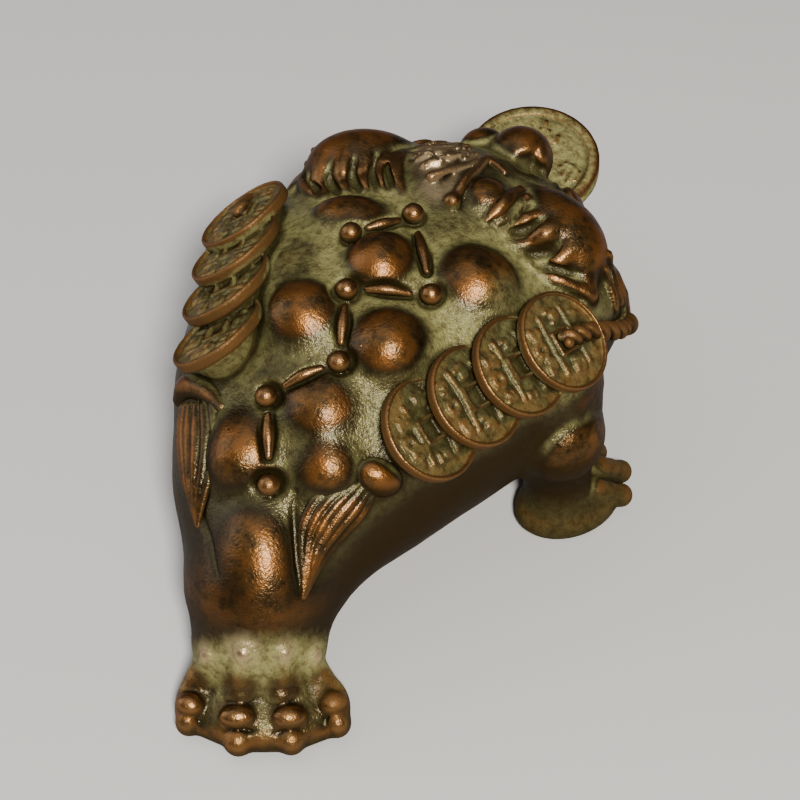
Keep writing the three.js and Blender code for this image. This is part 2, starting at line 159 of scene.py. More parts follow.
# %% [markdown]
# ## Fillets
#
# Where wax is pressed on wax the seam rounds off. A Bevel modifier rounds edges of a mesh,
# and a seam between two free forms has none. With distances we know a seam at once: both
# are nearly the same there. So we move the surface out a little at such points, and the
# reach says how wide the fillet is.


# %% Two distances as one
def blend(a, b, reach):
    """Two distances as one, with a fillet that is about as wide as the reach."""
    overlap = np.maximum(reach - np.abs(a - b), 0) / reach
    return np.minimum(a, b) - overlap * overlap * reach / 4


print("In a seam with a reach of 2 mm the surface moves out by", -blend(0, 0, 2), "mm")

# %% [markdown]
# ## A block that takes forms
#
# The mould of the real toad was filled in one pour. Our cast is a box of points on a
# grid. Adding a form melts it into what is there, and cutting one leaves a groove, like
# a loop tool in wax. OpenVDB then wraps a skin round the points below zero. A Remesh
# modifier could do the last step too, but it would take the fine grooves away.

# %% The cast
FLAT_MERGE = 0.02  # lets OpenVDB lay fewer faces where the skin is nearly flat
casts = []


class Cast:
    def __init__(self, name, low, high, cell):
        self.name, self.cell = name, cell
        self.low = np.asarray(low, float)
        self.shape = np.ceil((np.asarray(high, float) - self.low) / cell).astype(int) + 1
        self.depth = np.full(self.shape, FAR, np.float32)
        casts.append(self)

    def window(self, low, high):
        first = np.clip(np.floor((low - self.low) / self.cell).astype(int), 0, self.shape)
        last = np.clip(np.ceil((high - self.low) / self.cell).astype(int) + 1, 0, self.shape)
        spots = [np.arange(a, b, dtype=np.float32) * self.cell + k
                 for a, b, k in zip(first, last, self.low)]
        return tuple(slice(a, b) for a, b in zip(first, last)), np.meshgrid(
            *spots, indexing="ij", sparse=True)

    def add(self, form, reach):
        cells, xyz = self.window(form.low - reach - self.cell, form.high + reach + self.cell)
        self.depth[cells] = blend(self.depth[cells], form.depth(*xyz), reach)

    def cut(self, form, reach):
        cells, xyz = self.window(form.low - reach - self.cell, form.high + reach + self.cell)
        self.depth[cells] = -blend(-self.depth[cells], form.depth(*xyz), reach)

    def mesh(self):
        grid = openvdb.FloatGrid(FAR)
        grid.copyFromArray(np.ascontiguousarray(self.depth))
        points, triangles, quads = grid.convertToPolygons(isovalue=0.0, adaptivity=FLAT_MERGE)
        mesh = bpy.data.meshes.new(self.name)
        faces = triangles.tolist() + quads.tolist()
        mesh.from_pydata(((points * self.cell + self.low) * MM).tolist(), [], faces)
        mesh.shade_smooth()
        piece = bpy.data.objects.new(self.name, mesh)
        bpy.context.scene.collection.objects.link(piece)
        print(self.name, len(mesh.vertices), "vertices,",
              len(triangles) + 2 * len(quads), "triangles")


# %% [markdown]
# ## The body
#
# The toad crouches with its head low and one hind leg stretched out behind it. Big soft
# forms give that pose, and each has its own reach: wide where flesh flows, as at the
# shoulders, and narrow where a mass sits on another, as the brows do. The forms are kept
# in a list, because we ask them later where the skin is. The toad looks along -Y.

# %% Big forms of the body
BODY = [
    (Egg((0.9, -4, 15), (17.8, 13, 12.6)), 1),  # chest
    (Egg((2.2, 3.5, 14), (15.3, 13.5, 11.8)), 4),  # middle of the back
    (Egg((2.6, 11, 11.4), (11, 12, 8.8)), 4),  # rump
    (Egg((1.2, 19, 8.6), (6.8, 8.5, 6.4)), 3),  # thigh
    (Egg((0.6, 21, 9.2), (5.4, 6.5, 5.5), 0.5), 2),  # calf
    (limb((0.6, 22, 7), (-0.4, 24.4, 5.4), 5.3, 4.6), 3),  # ankle
    (Egg((-0.8, 25, 4.4), (5.5, 3.9, 4.6), 0.48), 2),  # heel
    (Egg((-3.2, 28.4, 1.6), (6.3, 4, 2.5), 0.48), 2),  # pad of the hind foot
    (limb((14, -5, 17.5), (10.2, 7, 15.8), 5, 5), 3),  # bed of the left coins
    (limb((-11.6, -4.5, 17.6), (-5.3, 7.2, 15.8), 5, 5), 3),  # bed of the right coins
    (Egg((0, -13, 19), (12, 9, 9)), 3),  # skull
    (Egg((0, -10.6, 17.5), (16.4, 10.2, 7)), 3),  # wide back of the jaw
    (Egg((0, -17, 14), (11, 6.5, 6)), 3),  # chin
    (Egg((0, -19, 19), (8.5, 5.5, 5)), 3),  # muzzle
]
for side in (-1, 1):
    BODY += [
        (Egg((side * 10, -12, 17), (6.5, 7, 7)), 2),  # cheek
        (Egg((side * 9.2, -14, 23.6), (5.8, 3.8, 4.2), side * 0.35), 1),  # brow
        (limb((side * 12, -12.2, 24.4), (side * 14.6, -10.2, 22.3), 1.7, 0.8), 0.8),  # its tail
        (limb((side * 14.2, -4, 15), (side * 15, -3.6, 11), 4.6, 4), 2),  # upper arm
        (Egg((side * 16.2, -2.4, 12.4), (3.4, 3.9, 3.9)), 0.8),  # elbow
        (limb((side * 15.2, -3.6, 10), (side * 15.6, -3.9, 3), 3.3, 3), 2),  # forearm
        (Egg((side * 16.4, -4.6, 1.2), (3.9, 5.2, 2.3), side * 0.58), 1.5),  # palm
    ]

BODY_CELL = 0.19
body = Cast("toad_body", (-24, -36, -1), (24, 36, 32), BODY_CELL)
for form, reach in BODY:
    body.add(form, reach)
print(len(BODY), "big forms in a block of", body.depth.size, "points")

# %% [markdown]
# ## Finding the skin
#
# A maker presses warts, stars and coins onto the wax where its skin happens to be, so we
# have to know where it is. Rays shot at a mesh would tell, but the forms can be asked
# directly, and the slope of their distance is the way straight out. With these helpers a
# wart is placed on the plan and finds its own height.


# %% Helpers that find the skin
def body_depth(points):
    depth = FAR
    for form, reach in BODY:
        depth = blend(depth, form.depth(*points), reach)
    return depth


def way_out(points):
    """The direction straight out of the body at some points."""
    step = 0.2
    slope = [body_depth(points + np.eye(3)[k][:, None] * step)
             - body_depth(points - np.eye(3)[k][:, None] * step) for k in range(3)]
    return np.array(slope) / np.linalg.norm(slope, axis=0)


def cling(points, lift=0.0):
    """Moves points straight in or out, to a height above the skin."""
    settled = np.array(points, float).T
    for _ in range(5):
        settled += way_out(settled) * (lift - body_depth(settled))
    return settled.T


def seat(x, y, lift=0.0):
    """The point of the skin below a spot of the plan, and the way out there."""
    above, below = 34.0, 2.0
    heights = np.arange(above, below, -0.25)
    depths = body_depth(np.array([heights * 0 + x, heights * 0 + y, heights]))
    first = heights[np.argmax(depths < 0)]
    point = np.array([x, y, first + 0.125])
    for _ in range(4):
        point[2] -= float(body_depth(point[:, None])[0])
    out = way_out(point[:, None])[:, 0]
    return point + out * lift, out


def ridge(points, radii, lift=0.0, steps=5):
    """A round bar that follows the skin, at one height above it or at heights along it."""
    chain = smooth(points, radii, steps)
    spread = np.linspace(0, 1, len(chain.points))
    heights = np.interp(spread, np.linspace(0, 1, np.size(lift)), np.ravel(lift))
    return Chain(cling(chain.points, heights), chain.radii)


def over(plan, lift=0.0):
    """Points on the skin, over spots of the plan."""
    return [seat(x, y, lift)[0] for x, y in plan]


print("The skin of the rump is at", seat(0, 12)[0].round(2))

# %% [markdown]
# ## Warts
#
# The back of a money toad is covered with smooth warts, large at the shoulders and lower
# towards the rump. Each one is an egg sunk in the skin, so that only its top stands
# proud. The seat is found by walking down on the field from above. That keeps every wart
# on the back even if we change the body under it.

# %% Warts
WARTS = [  # x, y, half widths, share of the half width that stands proud
    (1, -0.8, 2.8, 2.8, 0.75),
    (-6.9, -3.7, 3.7, 3.6, 0.6),
    (5, 6, 3.5, 3.3, 0.6),
    (-3.3, 5.7, 3.3, 3.3, 0.65),
    (-0.5, 12.4, 3.1, 3.3, 0.38),
    (5, 16.8, 3.2, 4, 0.42),
    (-2.9, 15.6, 2.5, 2.5, 0.5),
    (8.6, 2.5, 2.6, 3, 0.28),
    (6.3, -5.5, 3, 1.9, 0.6),
]


def dome(x, y, half_x, half_y, proud):
    height = min(half_x, half_y)
    centre, _ = seat(x, y, height * (proud - 1))
    return Egg(centre, (half_x, half_y, height))


warts = [dome(*wart) for wart in WARTS]
WART_REACH = 1.9
for wart in warts:
    body.add(wart, WART_REACH)
BODY_AND_WARTS = BODY + [(wart, WART_REACH) for wart in warts]
print(len(warts), "warts")

# %% [markdown]
# ## The seven stars
#
# Seven balls with bars between them draw the Plough on the back, an old charm. On the
# casting they lie in shallow hollows that the modeller's tool left round them. We cut
# all hollows first and set the balls and bars afterwards. A short reach keeps them crisp,
# and the bars stop before they touch the balls.

# %% Stars and links
STAR_RADIUS, LINK_RADIUS = 0.95, 0.5
STARS = [(4.6, -2.5), (1, -7), (-4.4, 0.2), (2.1, 3.2), (-0.4, 9), (4.2, 13.2), (1.2, 18.6)]
BODY, big_forms = BODY_AND_WARTS, BODY  # the stars and links lie on the warts too
stars = over(STARS, 0.35)
links = []
for a, b in zip(STARS, STARS[1:]):
    way = np.subtract(b, a)
    inner = [np.add(a, way * share) for share in (0.25, 0.5, 0.75)]
    links.append(cling(over(inner), -0.05))
for star in stars:
    body.cut(Egg(star, (1.45, 1.45, 1.0)), 0.5)
for link in links:
    body.cut(smooth(link, [0.5, 0.75, 0.5]), 0.4)
for star in stars:
    body.add(Egg(star, [STAR_RADIUS] * 3), 0.12)
for link in links:
    body.add(smooth(link + way_out(link.T).T * 0.15, [0.3, LINK_RADIUS, 0.3]), 0.15)
BODY = big_forms
print(len(stars), "stars and", len(links), "links")

# %% [markdown]
# ## Brows
#
# Over each eye sits a swollen brow, and its skin is combed back in ribs with scoops
# between them. A displaced texture would make them all alike. We draw each rib and each
# scoop as a line on the plan, and let it cling to the skin at its own height, thick in
# front and thin where it dies away behind.

# %% Brows: ribs combed back over each mass, with scoops between the ribs
LEFT_RIBS = [
    [(14, -10.2), (13, -9.6), (11.8, -8.6), (10.4, -7.5)],
    [(12.4, -11), (11.9, -10), (10.8, -8.9), (9.4, -7.8)],
    [(10.5, -11.8), (9.9, -10.6), (8.9, -9.3), (7.6, -8.2)],
    [(8.6, -12.5), (7.9, -11.2), (7, -9.8), (5.9, -8.6)],
    [(7, -13.6), (6.7, -12.2), (5.9, -10.6), (4.6, -9.2)],
    [(5.5, -14.8), (5.6, -13.2), (4.9, -11.2), (3.2, -9.3)],
]
LEFT_SCOOPS = [
    [(13.3, -10.4), (12.3, -9.6), (11.1, -8.4)],
    [(11.3, -11), (10.7, -9.8), (9.2, -8.2)],
    [(9.4, -12), (8.9, -10.6), (7.3, -8.7)],
    [(7.6, -12.8), (7.2, -11.4), (5.7, -8.9)],
    [(6.1, -13.6), (5.9, -11.9), (4.7, -9.8)],
]
RIGHT_RIBS = [
    [(-8.4, -12.4), (-7.6, -11.8), (-7, -10.8), (-6.6, -10)],
    [(-10.6, -12.4), (-9.6, -11.2), (-8.3, -10.1), (-7.2, -9.2)],
    [(-12.4, -11.2), (-11.3, -10.1), (-10.1, -9.3), (-9.2, -8.7)],
    [(-10, -8.7), (-11.6, -9.1), (-13.2, -9.5), (-14.6, -9.7)],
]
RIGHT_SCOOPS = [
    [(-6.8, -14.2), (-6.5, -12.9), (-6.1, -11)],
    [(-9.2, -12.5), (-8.3, -11.4), (-6.9, -10.2)],
    [(-11.4, -11.4), (-10.5, -10.3), (-9, -9.3)],
    [(-13.7, -10.4), (-11.9, -9.9), (-10, -9)],
]
for ribs, scoops, thick, wide in (
    (LEFT_RIBS, LEFT_SCOOPS, 1.05, 0.5), (RIGHT_RIBS, RIGHT_SCOOPS, 0.95, 0.55),
):
    for rib in ribs:
        radii = np.multiply([0.8, 1, 0.8, 0.4], thick)
        body.add(ridge(over(rib), radii, [-0.8, -0.1, 0, -0.1]), 0.4)
    for scoop in scoops:
        body.cut(ridge(over(scoop), [0.2, wide, wide * 0.9], [0.15, 0.25, 0.4]), 0.2)
print(len(LEFT_RIBS + RIGHT_RIBS), "ribs and", len(LEFT_SCOOPS + RIGHT_SCOOPS), "scoops")

# %% [markdown]
# ## The crown
#
# Between the brows the casting is rough: a wart, and a crumpled plate with bright folds.
# Nobody can copy crumples one by one, and a noise texture would give them all one height.
# So the folds are drawn at random places and turns, some raised and some cut. A fixed
# seed makes them the same at each run.

# %% Crown: a wart, and a rough plate with folds
random = np.random.default_rng(7)
crown_base = [(Egg((1.4, -12.6, 27), (3, 2.8, 1.6)), 1), (dome(-3.5, -12.3, 2.5, 2.3, 0.5), 0.7)]
for form, reach in crown_base:
    body.add(form, reach)
BODY, big_forms = BODY + crown_base, BODY
NEAR_EDGE = np.array([(-1.2, -15.4), (-0.3, -14.2), (0.5, -12.9), (1.7, -11.7)])
EDGE_WAY, PLATE_WAY = np.array((2.9, 3.7)), np.array((0.95, -0.7))
for rows in (1, 2, 3, 4):
    body.add(ridge(over(NEAR_EDGE + PLATE_WAY * rows), [0.4, 0.7, 0.7, 0.4]), 0.3)
FOLDS, RAISED_SHARE = 34, 0.6
for along, rows in random.uniform((0, 0.4), (1, 4), (FOLDS, 2)):
    centre = NEAR_EDGE[0] + EDGE_WAY * along + PLATE_WAY * rows
    turn, length = random.uniform((0, 0.4), (math.pi, 1.1))
    way = np.array((math.cos(turn), math.sin(turn))) * length
    fold = over([centre - way, centre, centre + way], random.uniform(0.25, 0.55))
    if random.random() < RAISED_SHARE:
        body.add(Chain(fold, [0.12, 0.26, 0.12]), 0.05)
    else:
        body.cut(Chain(fold, [0.1, 0.3, 0.1]), 0.08)
print(FOLDS, "folds")

# %% [markdown]
# ## Bars of the crown
#
# Two bars run back from the peak of the plate, and one of them ends in a knob. Beside
# them lie two curled locks. As loose curves they would only rest on the crown. As rolls
# that follow the skin they grow out of it, and a groove in the plate sets them off.

# %% Bars that run back from the peak, and two curled locks
CROWN_BARS = [
    ([(-1.2, -16.6), (-1.4, -14.3), (-1.5, -12.1), (-1.3, -10.6), (-1.3, -9.9)],
     [0.4, 0.4, 0.4, 0.5, 0.78], 0.3),
    ([(-1.3, -16.8), (-2.4, -16.5), (-3.4, -16)], [0.35, 0.33, 0.25], 0.2),
    ([(-1.2, -16.2), (-0.6, -14.4), (0.3, -12.7), (1.4, -11.2)], [0.35, 0.3, 0.3, 0.45], 0.25),
    ([(-5.7, -14.4), (-5.3, -12.1), (-5, -10.9), (-4.6, -9.8)], [0.6, 0.65, 0.6, 0.3], 0.1),
    ([(-6.7, -13.8), (-6.2, -12.6), (-5.9, -11.3), (-5.5, -10.1)], [0.5, 0.6, 0.6, 0.3], 0.1),
]
body.cut(ridge(over([(0.3, -14.6), (0.6, -12.9), (0.2, -11)]), [0.3, 0.6, 0.4], 0.3), 0.3)
for plan, radii, lift in CROWN_BARS:
    body.add(ridge(over(plan), radii, lift), 0.2)
BODY = big_forms
print(len(CROWN_BARS), "bars and locks")

# %% [markdown]
# ## The snout
#
# Two round lobes rest on the coin and stand for the nostrils. They were pressed on, so
# there is a crease at the side of each. Balls with a very short reach keep the seam
# sharp, and a soft cut beside them makes the fold.

# %% Snout: two lobes that rest on the coin, and a crease beside each of them
for lobe, radius in (((-1.9, -22.9, 22.9), 3.05), ((2, -23.3, 21.7), 2.4)):
    body.add(Egg(lobe, [radius] * 3), 0.35)
    side = np.sign(lobe[0])
    spots = np.add(lobe, [(side * 1.85, 0.6, 2.2), (side * 1.7, 1.5, 1.9), (side * 1.7, 2.3, 1.7)])
    body.cut(Chain(spots, [0.15, 0.3, 0.3]), 0.7)
    body.cut(Egg(np.add(lobe, (-side * 0.4, -2.7, 0.2)), (0.45, 0.6, 0.4)), 0.3)
fold = cling([(-5, -23, 24.6), (-4.2, -22, 25), (-3.4, -20.8, 24.8), (-3.6, -19.4, 25)], 0.35)
body.cut(Chain(fold, [0.3, 0.6, 0.6, 0.3]), 0.9)
print("The fold of the snout starts at", fold[0].round(1))

# %% [markdown]
# ## Lips, cheeks and eyes
#
# The wide mouth runs round the whole head as a groove between two lips, with three folds
# at each corner. The face can't be drawn from above, so we shoot level rays out of the
# head and keep the points where they leave it. The eyes are flat balls with a ring cut
# in, which reads as a lid. The photo hides this side, so it stays plain.

# %% Lips, folds of the cheeks and eyes
def face(bearing, height):
    """Where a level ray from the middle of the head meets the face."""
    out = np.array([math.sin(bearing), -math.cos(bearing), 0])
    reach = np.arange(0, 20, 0.1)
    ray = np.array([0, -13, height])[:, None] + out[:, None] * reach
    return ray[:, np.argmax(body_depth(ray) > 0)]


def face_line(first, last, height, drop, count=13):
    return [face(b, height - drop * b ** 2) for b in np.linspace(first, last, count)]


CHEEK_RIBS = np.array([
    [(14.6, -12.8, 23.4), (14.9, -13, 22.2), (15.6, -12.6, 20.8), (16, -12, 19.6)],
    [(14.2, -13.6, 24.2), (14.5, -14.4, 22.2), (15.4, -13.8, 20.8), (16.3, -13.4, 19.2)],
    [(14.2, -14.8, 22.6), (15, -14.7, 20.8), (15.8, -14.5, 19.8), (16.4, -14.2, 18.6)],
])
body.cut(ridge(face_line(-1.52, 1.52, 17.9, 0.35), 0.5, 0.1, 2), 0.4)
body.add(ridge(face_line(-1.5, 1.5, 19.1, 0.75), 0.7, -0.05, 2), 0.5)
body.add(ridge(face_line(-1.5, 1.5, 16.6, -0.25), 0.75, -0.05, 2), 0.5)
EYE_RADIUS, EYE_SUNK, LID_RADIUS = 3.1, 1.9, 2.15
for side in (-1, 1):
    for rib in CHEEK_RIBS:
        body.add(ridge(cling(rib * (side, 1, 1)), [0.35, 0.5, 0.5, 0.35], 0.1), 0.2)
    eye = face(side * 0.74, 20.6)
    out = way_out(eye[:, None])[:, 0]
    across = unit(np.cross((0, 0, 1), out))
    down = np.cross(across, out)
    body.add(Egg(eye - out * EYE_SUNK, [EYE_RADIUS] * 3), 0.5)
    body.cut(Chain([eye + out * 0.4 + LID_RADIUS * (across * math.cos(a) + down * math.sin(a))
                    for a in np.linspace(0, 2 * math.pi, 25)], 0.42), 0.25)
    print("eye at", eye.round(1))

# %% [markdown]
# ## The hind leg
#
# The calf is one long swelling along the leg, with a crease at each side. A sphere could
# be scaled and turned by hand until it lies well. The leg gives us its axes instead:
# along it, across it, and out of the skin.

# %% The calf and the creases beside it
along, out = unit((-3.7, 5.9, -4.4)), way_out(np.array([[0.8], [22.8], [15.3]]))[:, 0]
across = unit(np.cross(along, out))
calf = np.array([across, along, np.cross(across, along)])
body.add(Egg(np.array((0.5, 22.6, 15.4)) - out * 2.1, (3.5, 5.2, 3.1), axes=calf), 0.9)
for crease in (
    [(6.3, 20.2, 16), (6.1, 21.7, 14.8), (4.4, 23.3, 14.2), (2.5, 25.4, 13.3)],
    [(-1, 18, 18.3), (-1.4, 19.1, 17.2), (-2, 20.2, 16), (-3, 21.8, 14.4), (-4.2, 23.4, 12.6)],
):
    body.cut(ridge(cling(crease), np.r_[0.15, [0.28] * (len(crease) - 2), 0.15], 0.05), 0.3)
print("The calf runs along", along.round(2))

# %% [markdown]
# ## The hind foot
#
# Four toes fan out, with a web between their tips. Each has a cap like a bead over its
# knuckle, and a round tip. Instead of carving each toe, we repeat the same few forms in
# axes that follow it, so that one loop makes all four and only the table of points
# differs. The loop also notes the spots that are rubbed bare.

# %% Toes of the hind foot: a ray, a cap over the knuckle and a round tip each
HIND_TOES = [  # root, back bump, knuckle and tip, radius at the knuckle
    ((2.4, 28.2, 4.9), (2.5, 29.8, 3.2), (2.2, 31.2, 2.2), (1.9, 32.7, 1.3), 1.6),
    ((-0.6, 27, 6), (-1.1, 28.7, 3.9), (-1.8, 30.5, 2.3), (-2.8, 32.3, 1.3), 1.95),
    ((-3.5, 25.6, 5.8), (-4.4, 27, 3.8), (-5.6, 28.6, 2.3), (-6.7, 30.2, 1.3), 1.85),
    ((-5.2, 24.2, 4.9), (-6.8, 25, 3.2), (-8.1, 25.7, 2.2), (-9.4, 27, 1.3), 1.6),
]
web = [np.subtract(tip, (0, 0.5, 0.3)) for _, _, _, tip, _ in HIND_TOES]
body.add(Chain(web, 0.9), 0.6)
rubbed_spots = []  # centre, radius, how bare, how pale: pale metal and a painted highlight
for root, bump, knuckle, tip, radius in HIND_TOES:
    body.add(smooth([root, bump, knuckle, tip], np.multiply(radius, [0.7, 0.85, 1, 0.6])), 0.5)
    toward = unit(np.subtract(tip, knuckle) * (1, 1, 0))
    across, up = np.cross((0, 0, 1), toward), np.array((0, 0, 1))
    axes = np.array([across, unit(toward * 0.8 - up * 0.6), unit(toward * 0.6 + up * 0.8)])
    top = knuckle + axes[2] * radius * 0.85
    body.cut(Egg(top - axes[1] * 1.3, (radius * 0.9, 0.3, 0.3), axes=axes), 0.6)
    body.add(Egg(top, (radius - 0.4, 1.0, 0.98), axes=axes), 0.2)
    rubbed_spots.append((top, radius, 0.95, 0))
    rubbed_spots.append((bump + axes[2] * radius * 0.8, radius * 0.85, 0.9, 0))
    body.cut(Egg(top + axes[1] * 1.2, (radius * 0.8, 0.25, 0.25), axes=axes), 0.3)
    body.add(Egg(np.add(tip, (0, 0, 0.35)), (radius * 0.68, radius * 0.68, 1.35)), 0.15)
print(len(HIND_TOES), "toes")

# %% [markdown]
# ## Lumps of the instep
#
# Above each toe a low roll leads up the instep, from a soft lump to a smaller one with a pale painted
# highlight. A displacement would swell the whole instep. Two balls and a roll at each toe stay where
# they are put, and cling keeps them half in the skin.

# %% Lumps above the toes
HIND_LUMPS = [  # top of the instep, and the low lump above the toe, with their radii
    ((1.8, 29.1, 7), 0.6, (2.3, 30.3, 4.3), 0.9), ((-1.5, 28.5, 8.7), 0.9, (-1.6, 30, 4.6), 1.15),
    ((-4.4, 26.7, 8.3), 0.65, (-4.9, 28.3, 4.6), 1.1), ((-6, 24.5, 6.3), 0.6, (-7.3, 25.6, 3.6), 0.9),
]
for high, high_radius, low, low_radius in HIND_LUMPS:
    body.add(ridge(cling([high, np.add(high, low) / 2, low]), [0.6, 0.8, 1], [-0.1, -0.3, -0.4]), 0.5)
    high, low = cling([high], -0.15)[0], cling([low], -0.4)[0]
    body.add(Egg(high, [high_radius] * 3), 0.3)
    body.add(Egg(low, [low_radius * 1.05] * 3), 0.4)
    # the small lump gets a pale painted highlight and keeps its dust
    rubbed_spots.append((high, high_radius * 1.6, 0.05, 0.6))
print(2 * len(HIND_LUMPS), "lumps and", len(rubbed_spots), "rubbed spots")

# %% [markdown]
# ## The front feet
#
# The front legs end in four short knobby toes each. A Mirror modifier would copy the
# whole toad, and its back isn't symmetric. So only these toes are mirrored: both sides
# come from one table, with x turned round.

# %% Toes of the front feet
FRONT_TOES = [  # root, knuckle and tip of the left ones
    ((15.6, -3, 3.4), (18.6, -5.4, 2.9), (20.6, -7.3, 1.4)),
    ((15.4, -4, 3.8), (18, -7.8, 2.9), (19.4, -9.9, 1.4)),
    ((14.8, -4.4, 3.6), (15.8, -8.8, 2.8), (16.4, -11, 1.4)),
    ((14, -4, 3), (13.5, -7.9, 2.4), (13.4, -9.8, 1.3)),
]
for side in (-1, 1):
    body.add(Egg((side * 16.3, -2.2, 12.7), (3.7, 4.1, 4.1)), 0.4)
    for spots in FRONT_TOES:
        root, knuckle, tip = np.array(spots) * (side, 1, 1)
        body.add(smooth([root, knuckle, tip], [1.2, 1.3, 0.9]), 0.4)
        body.add(Egg(knuckle + (0, 0, 0.5), (1.25, 1.15, 1)), 0.2)
        body.add(Egg(tip, (1.1, 1.1, 1.15)), 0.2)
print(2 * len(FRONT_TOES), "toes in front")

# %% [markdown]
# ## The soles
#
# The real toad was rubbed flat under its feet so that it doesn't rock. A Boolean with a
# box would cut it level, but slowly on so dense a mesh. In the field it is one line: we
# take the larger of two distances, to the toad and to the ground. Then the body becomes
# a mesh.

# %% Stand it on the ground
ground = (np.arange(body.shape[2]) * body.cell + body.low[2]).astype(np.float32)
body.depth = np.maximum(body.depth, -ground[None, None, :])
body.mesh()

# %% [markdown]
# ## Coins
#
# A string coin is a disc with a raised rim and a square hole with a border. A bevelled
# cylinder with a Boolean hole would do for a loose coin, but these are cast in one with
# the back. So the coin is one more form: sides and faces give the disc, a blended cut
# sinks the field inside the rim, and a cone below joins it to the back, as the wax did.

# %% A coin as a form
HOLE_HALF, BORDER_HALF, EDGE_ROUND = 0.85, 1.15, 0.25
CONE_SHARE, CONE_SLOPE = 0.85, 0.3  # how wide the cone is at the coin, and how it narrows


class Coin:
    """A coin with its face along z; the plug is how far the cone below it goes down."""

    def __init__(self, centre, axis, across, radius, half, rim, relief, plug):
        self.centre = np.asarray(centre, float)
        self.z = unit(axis)
        self.y = unit(np.cross(self.z, across))
        self.x = np.cross(self.y, self.z)
        self.radius, self.half, self.rim, self.relief, self.plug = radius, half, rim, relief, plug
        self.low, self.high = self.centre - radius - plug, self.centre + radius + plug

    def own(self, x, y, z):
        d = [x - self.centre[0], y - self.centre[1], z - self.centre[2]]
        return [sum(a * b for a, b in zip(d, axis)) for axis in (self.x, self.y, self.z)]

    def depth(self, x, y, z):
        u, v, w = self.own(x, y, z)
        r = np.sqrt(u * u + v * v)
        square = np.maximum(np.abs(u), np.abs(v))
        side, top = r - self.radius + EDGE_ROUND, np.abs(w) - self.half + EDGE_ROUND
        disc = np.sqrt(np.maximum(side, 0) ** 2 + np.maximum(top, 0) ** 2)
        disc = disc + np.minimum(np.maximum(side, top), 0) - EDGE_ROUND
        floor = self.half - self.relief
        field = np.maximum(r - self.radius + self.rim, floor - w)
        field = np.maximum(field, BORDER_HALF - square)
        disc = -blend(-disc, field, 0.2)
        hole = np.maximum(square - HOLE_HALF, floor - self.relief - w)
        disc = -blend(-disc, hole, 0.12)
        cone_side = r - self.radius * CONE_SHARE - w * CONE_SLOPE
        cone = np.maximum(cone_side, np.maximum(w, -w - self.plug))
        return blend(disc, cone, 0.3)


loose = Coin((0, 0, 0), (0, 0, 1), (1, 0, 0), 4.5, 0.55, rim=0.36, relief=0.42, plug=3)
print("1 mm above the rim's height:", round(loose.depth(4.3, 0, 1.55), 2), "mm from the rim and",
      round(loose.depth(2.5, 0, 1.55), 2), "mm from the field")

# %% [markdown]
# ## An inscription
#
# The face of a coin bears an inscription, worn down to bars and dots. A Text object would
# put real letters there. We want none, so the marks are level and upright strokes, and
# rings, at random places on no letter's plan.


# %% Strokes and rings
def glyph(cast, coin, u, v, strokes, height):
    """A block of short strokes on a coin's field."""
    lift = coin.half - coin.relief
    for (a, b), (c, d) in strokes:
        ends = [coin.centre + coin.x * (u + p) + coin.y * (v + q) + coin.z * lift
                for p, q in ((a, b), (c, d))]
        cast.add(Chain(ends, height), 0.06)


def ring(radius):
    corners = [(radius * math.cos(a), radius * math.sin(a)) for a in np.linspace(0, 2 * math.pi, 8)]
    return list(zip(corners, corners[1:]))


def strokes(random, count, spread):
    """Level and upright strokes in a small square, on no letter's plan."""
    marks = []
    for _ in range(count):
        a, b = random.uniform(-spread, spread, 2)
        length = random.uniform(0.5, 1.1) * spread
        way = (length, 0) if random.random() < 0.5 else (0, length)
        marks.append(((a, b), (a + way[0] * np.sign(-a), b + way[1] * np.sign(-b))))
    return marks


print("a ring has", len(ring(0.55)), "strokes")

# %% [markdown]
# ## Two strings of coins
#
# Four coins overlap like roof tiles on each flank, and each lies a little over the next
# one. An Array modifier would lay four equal coins. We add them in a loop, from the last
# to the first, so that the first ends on top, and small random shifts keep the strokes
# from looking printed.

# %% The two strings
COIN_RADIUS, COIN_HALF, PITCH, STROKE = 4.5, 0.55, 4.7, 0.34
FINE_CELL, MARGIN = 0.13, 6
STRINGS = [  # name, side, plan of the first coin, heading, lean outward in radians
    ("coins_right", -1, (-14.6, -3.5), (6, 12.8), 0.64),
    ("coins_left", 1, (16, -4), (-5.2, 13.4), 0.68),
]
BARS = ((-2.7, -1.2), (-1.1, 0.9), (1, 2.6))  # ends of the strokes beside the hole
BLOCKS = np.array([(2.4, 1.7), (2.5, -1.6), (-2.4, 1.6), (-2.5, -1.8), (0, 2.4), (0, -2.5)])
random = np.random.default_rng(7)
first_coins, coin_axes = {}, {}
for name, side, start, heading, lean in STRINGS:
    along = unit((*heading, 0))
    axis = np.array([side * math.sin(lean), 0, math.cos(lean)])
    coins = []
    for i in range(4):
        x, y, _ = np.array([*start, 0]) + along * PITCH * i
        centre, _ = seat(x, y, COIN_HALF * 1.4)
        coins.append(Coin(centre, axis, along, COIN_RADIUS, COIN_HALF, rim=0.36, relief=0.42, plug=3))
    middles = [coin.centre for coin in coins]
    cast = Cast(name, np.min(middles, 0) - MARGIN, np.max(middles, 0) + MARGIN, FINE_CELL)
    for coin in coins[::-1]:
        cast.add(coin, 0.08)
        for u in (-1.4, 1.4):
            for near_end, far_end in BARS:
                (p, q), height = random.uniform(-0.16, 0.16, 2), random.uniform(0.7, 1.15)
                glyph(cast, coin, u, 0, [((p, near_end), (q, far_end))], height * STROKE)
        for u, v in random.uniform(-0.3, 0.3, (2, 2)) + ((2.6, 0), (-2.6, 0)):
            glyph(cast, coin, u, v, ring(0.55), STROKE)
        for u, v in random.uniform(-0.3, 0.3, (6, 2)) + BLOCKS:
            glyph(cast, coin, u, v, strokes(random, 6, 0.6), random.uniform(0.7, 1.2) * STROKE)
    first_coins[side], coin_axes[name] = coins[0], axis
    cast.mesh()

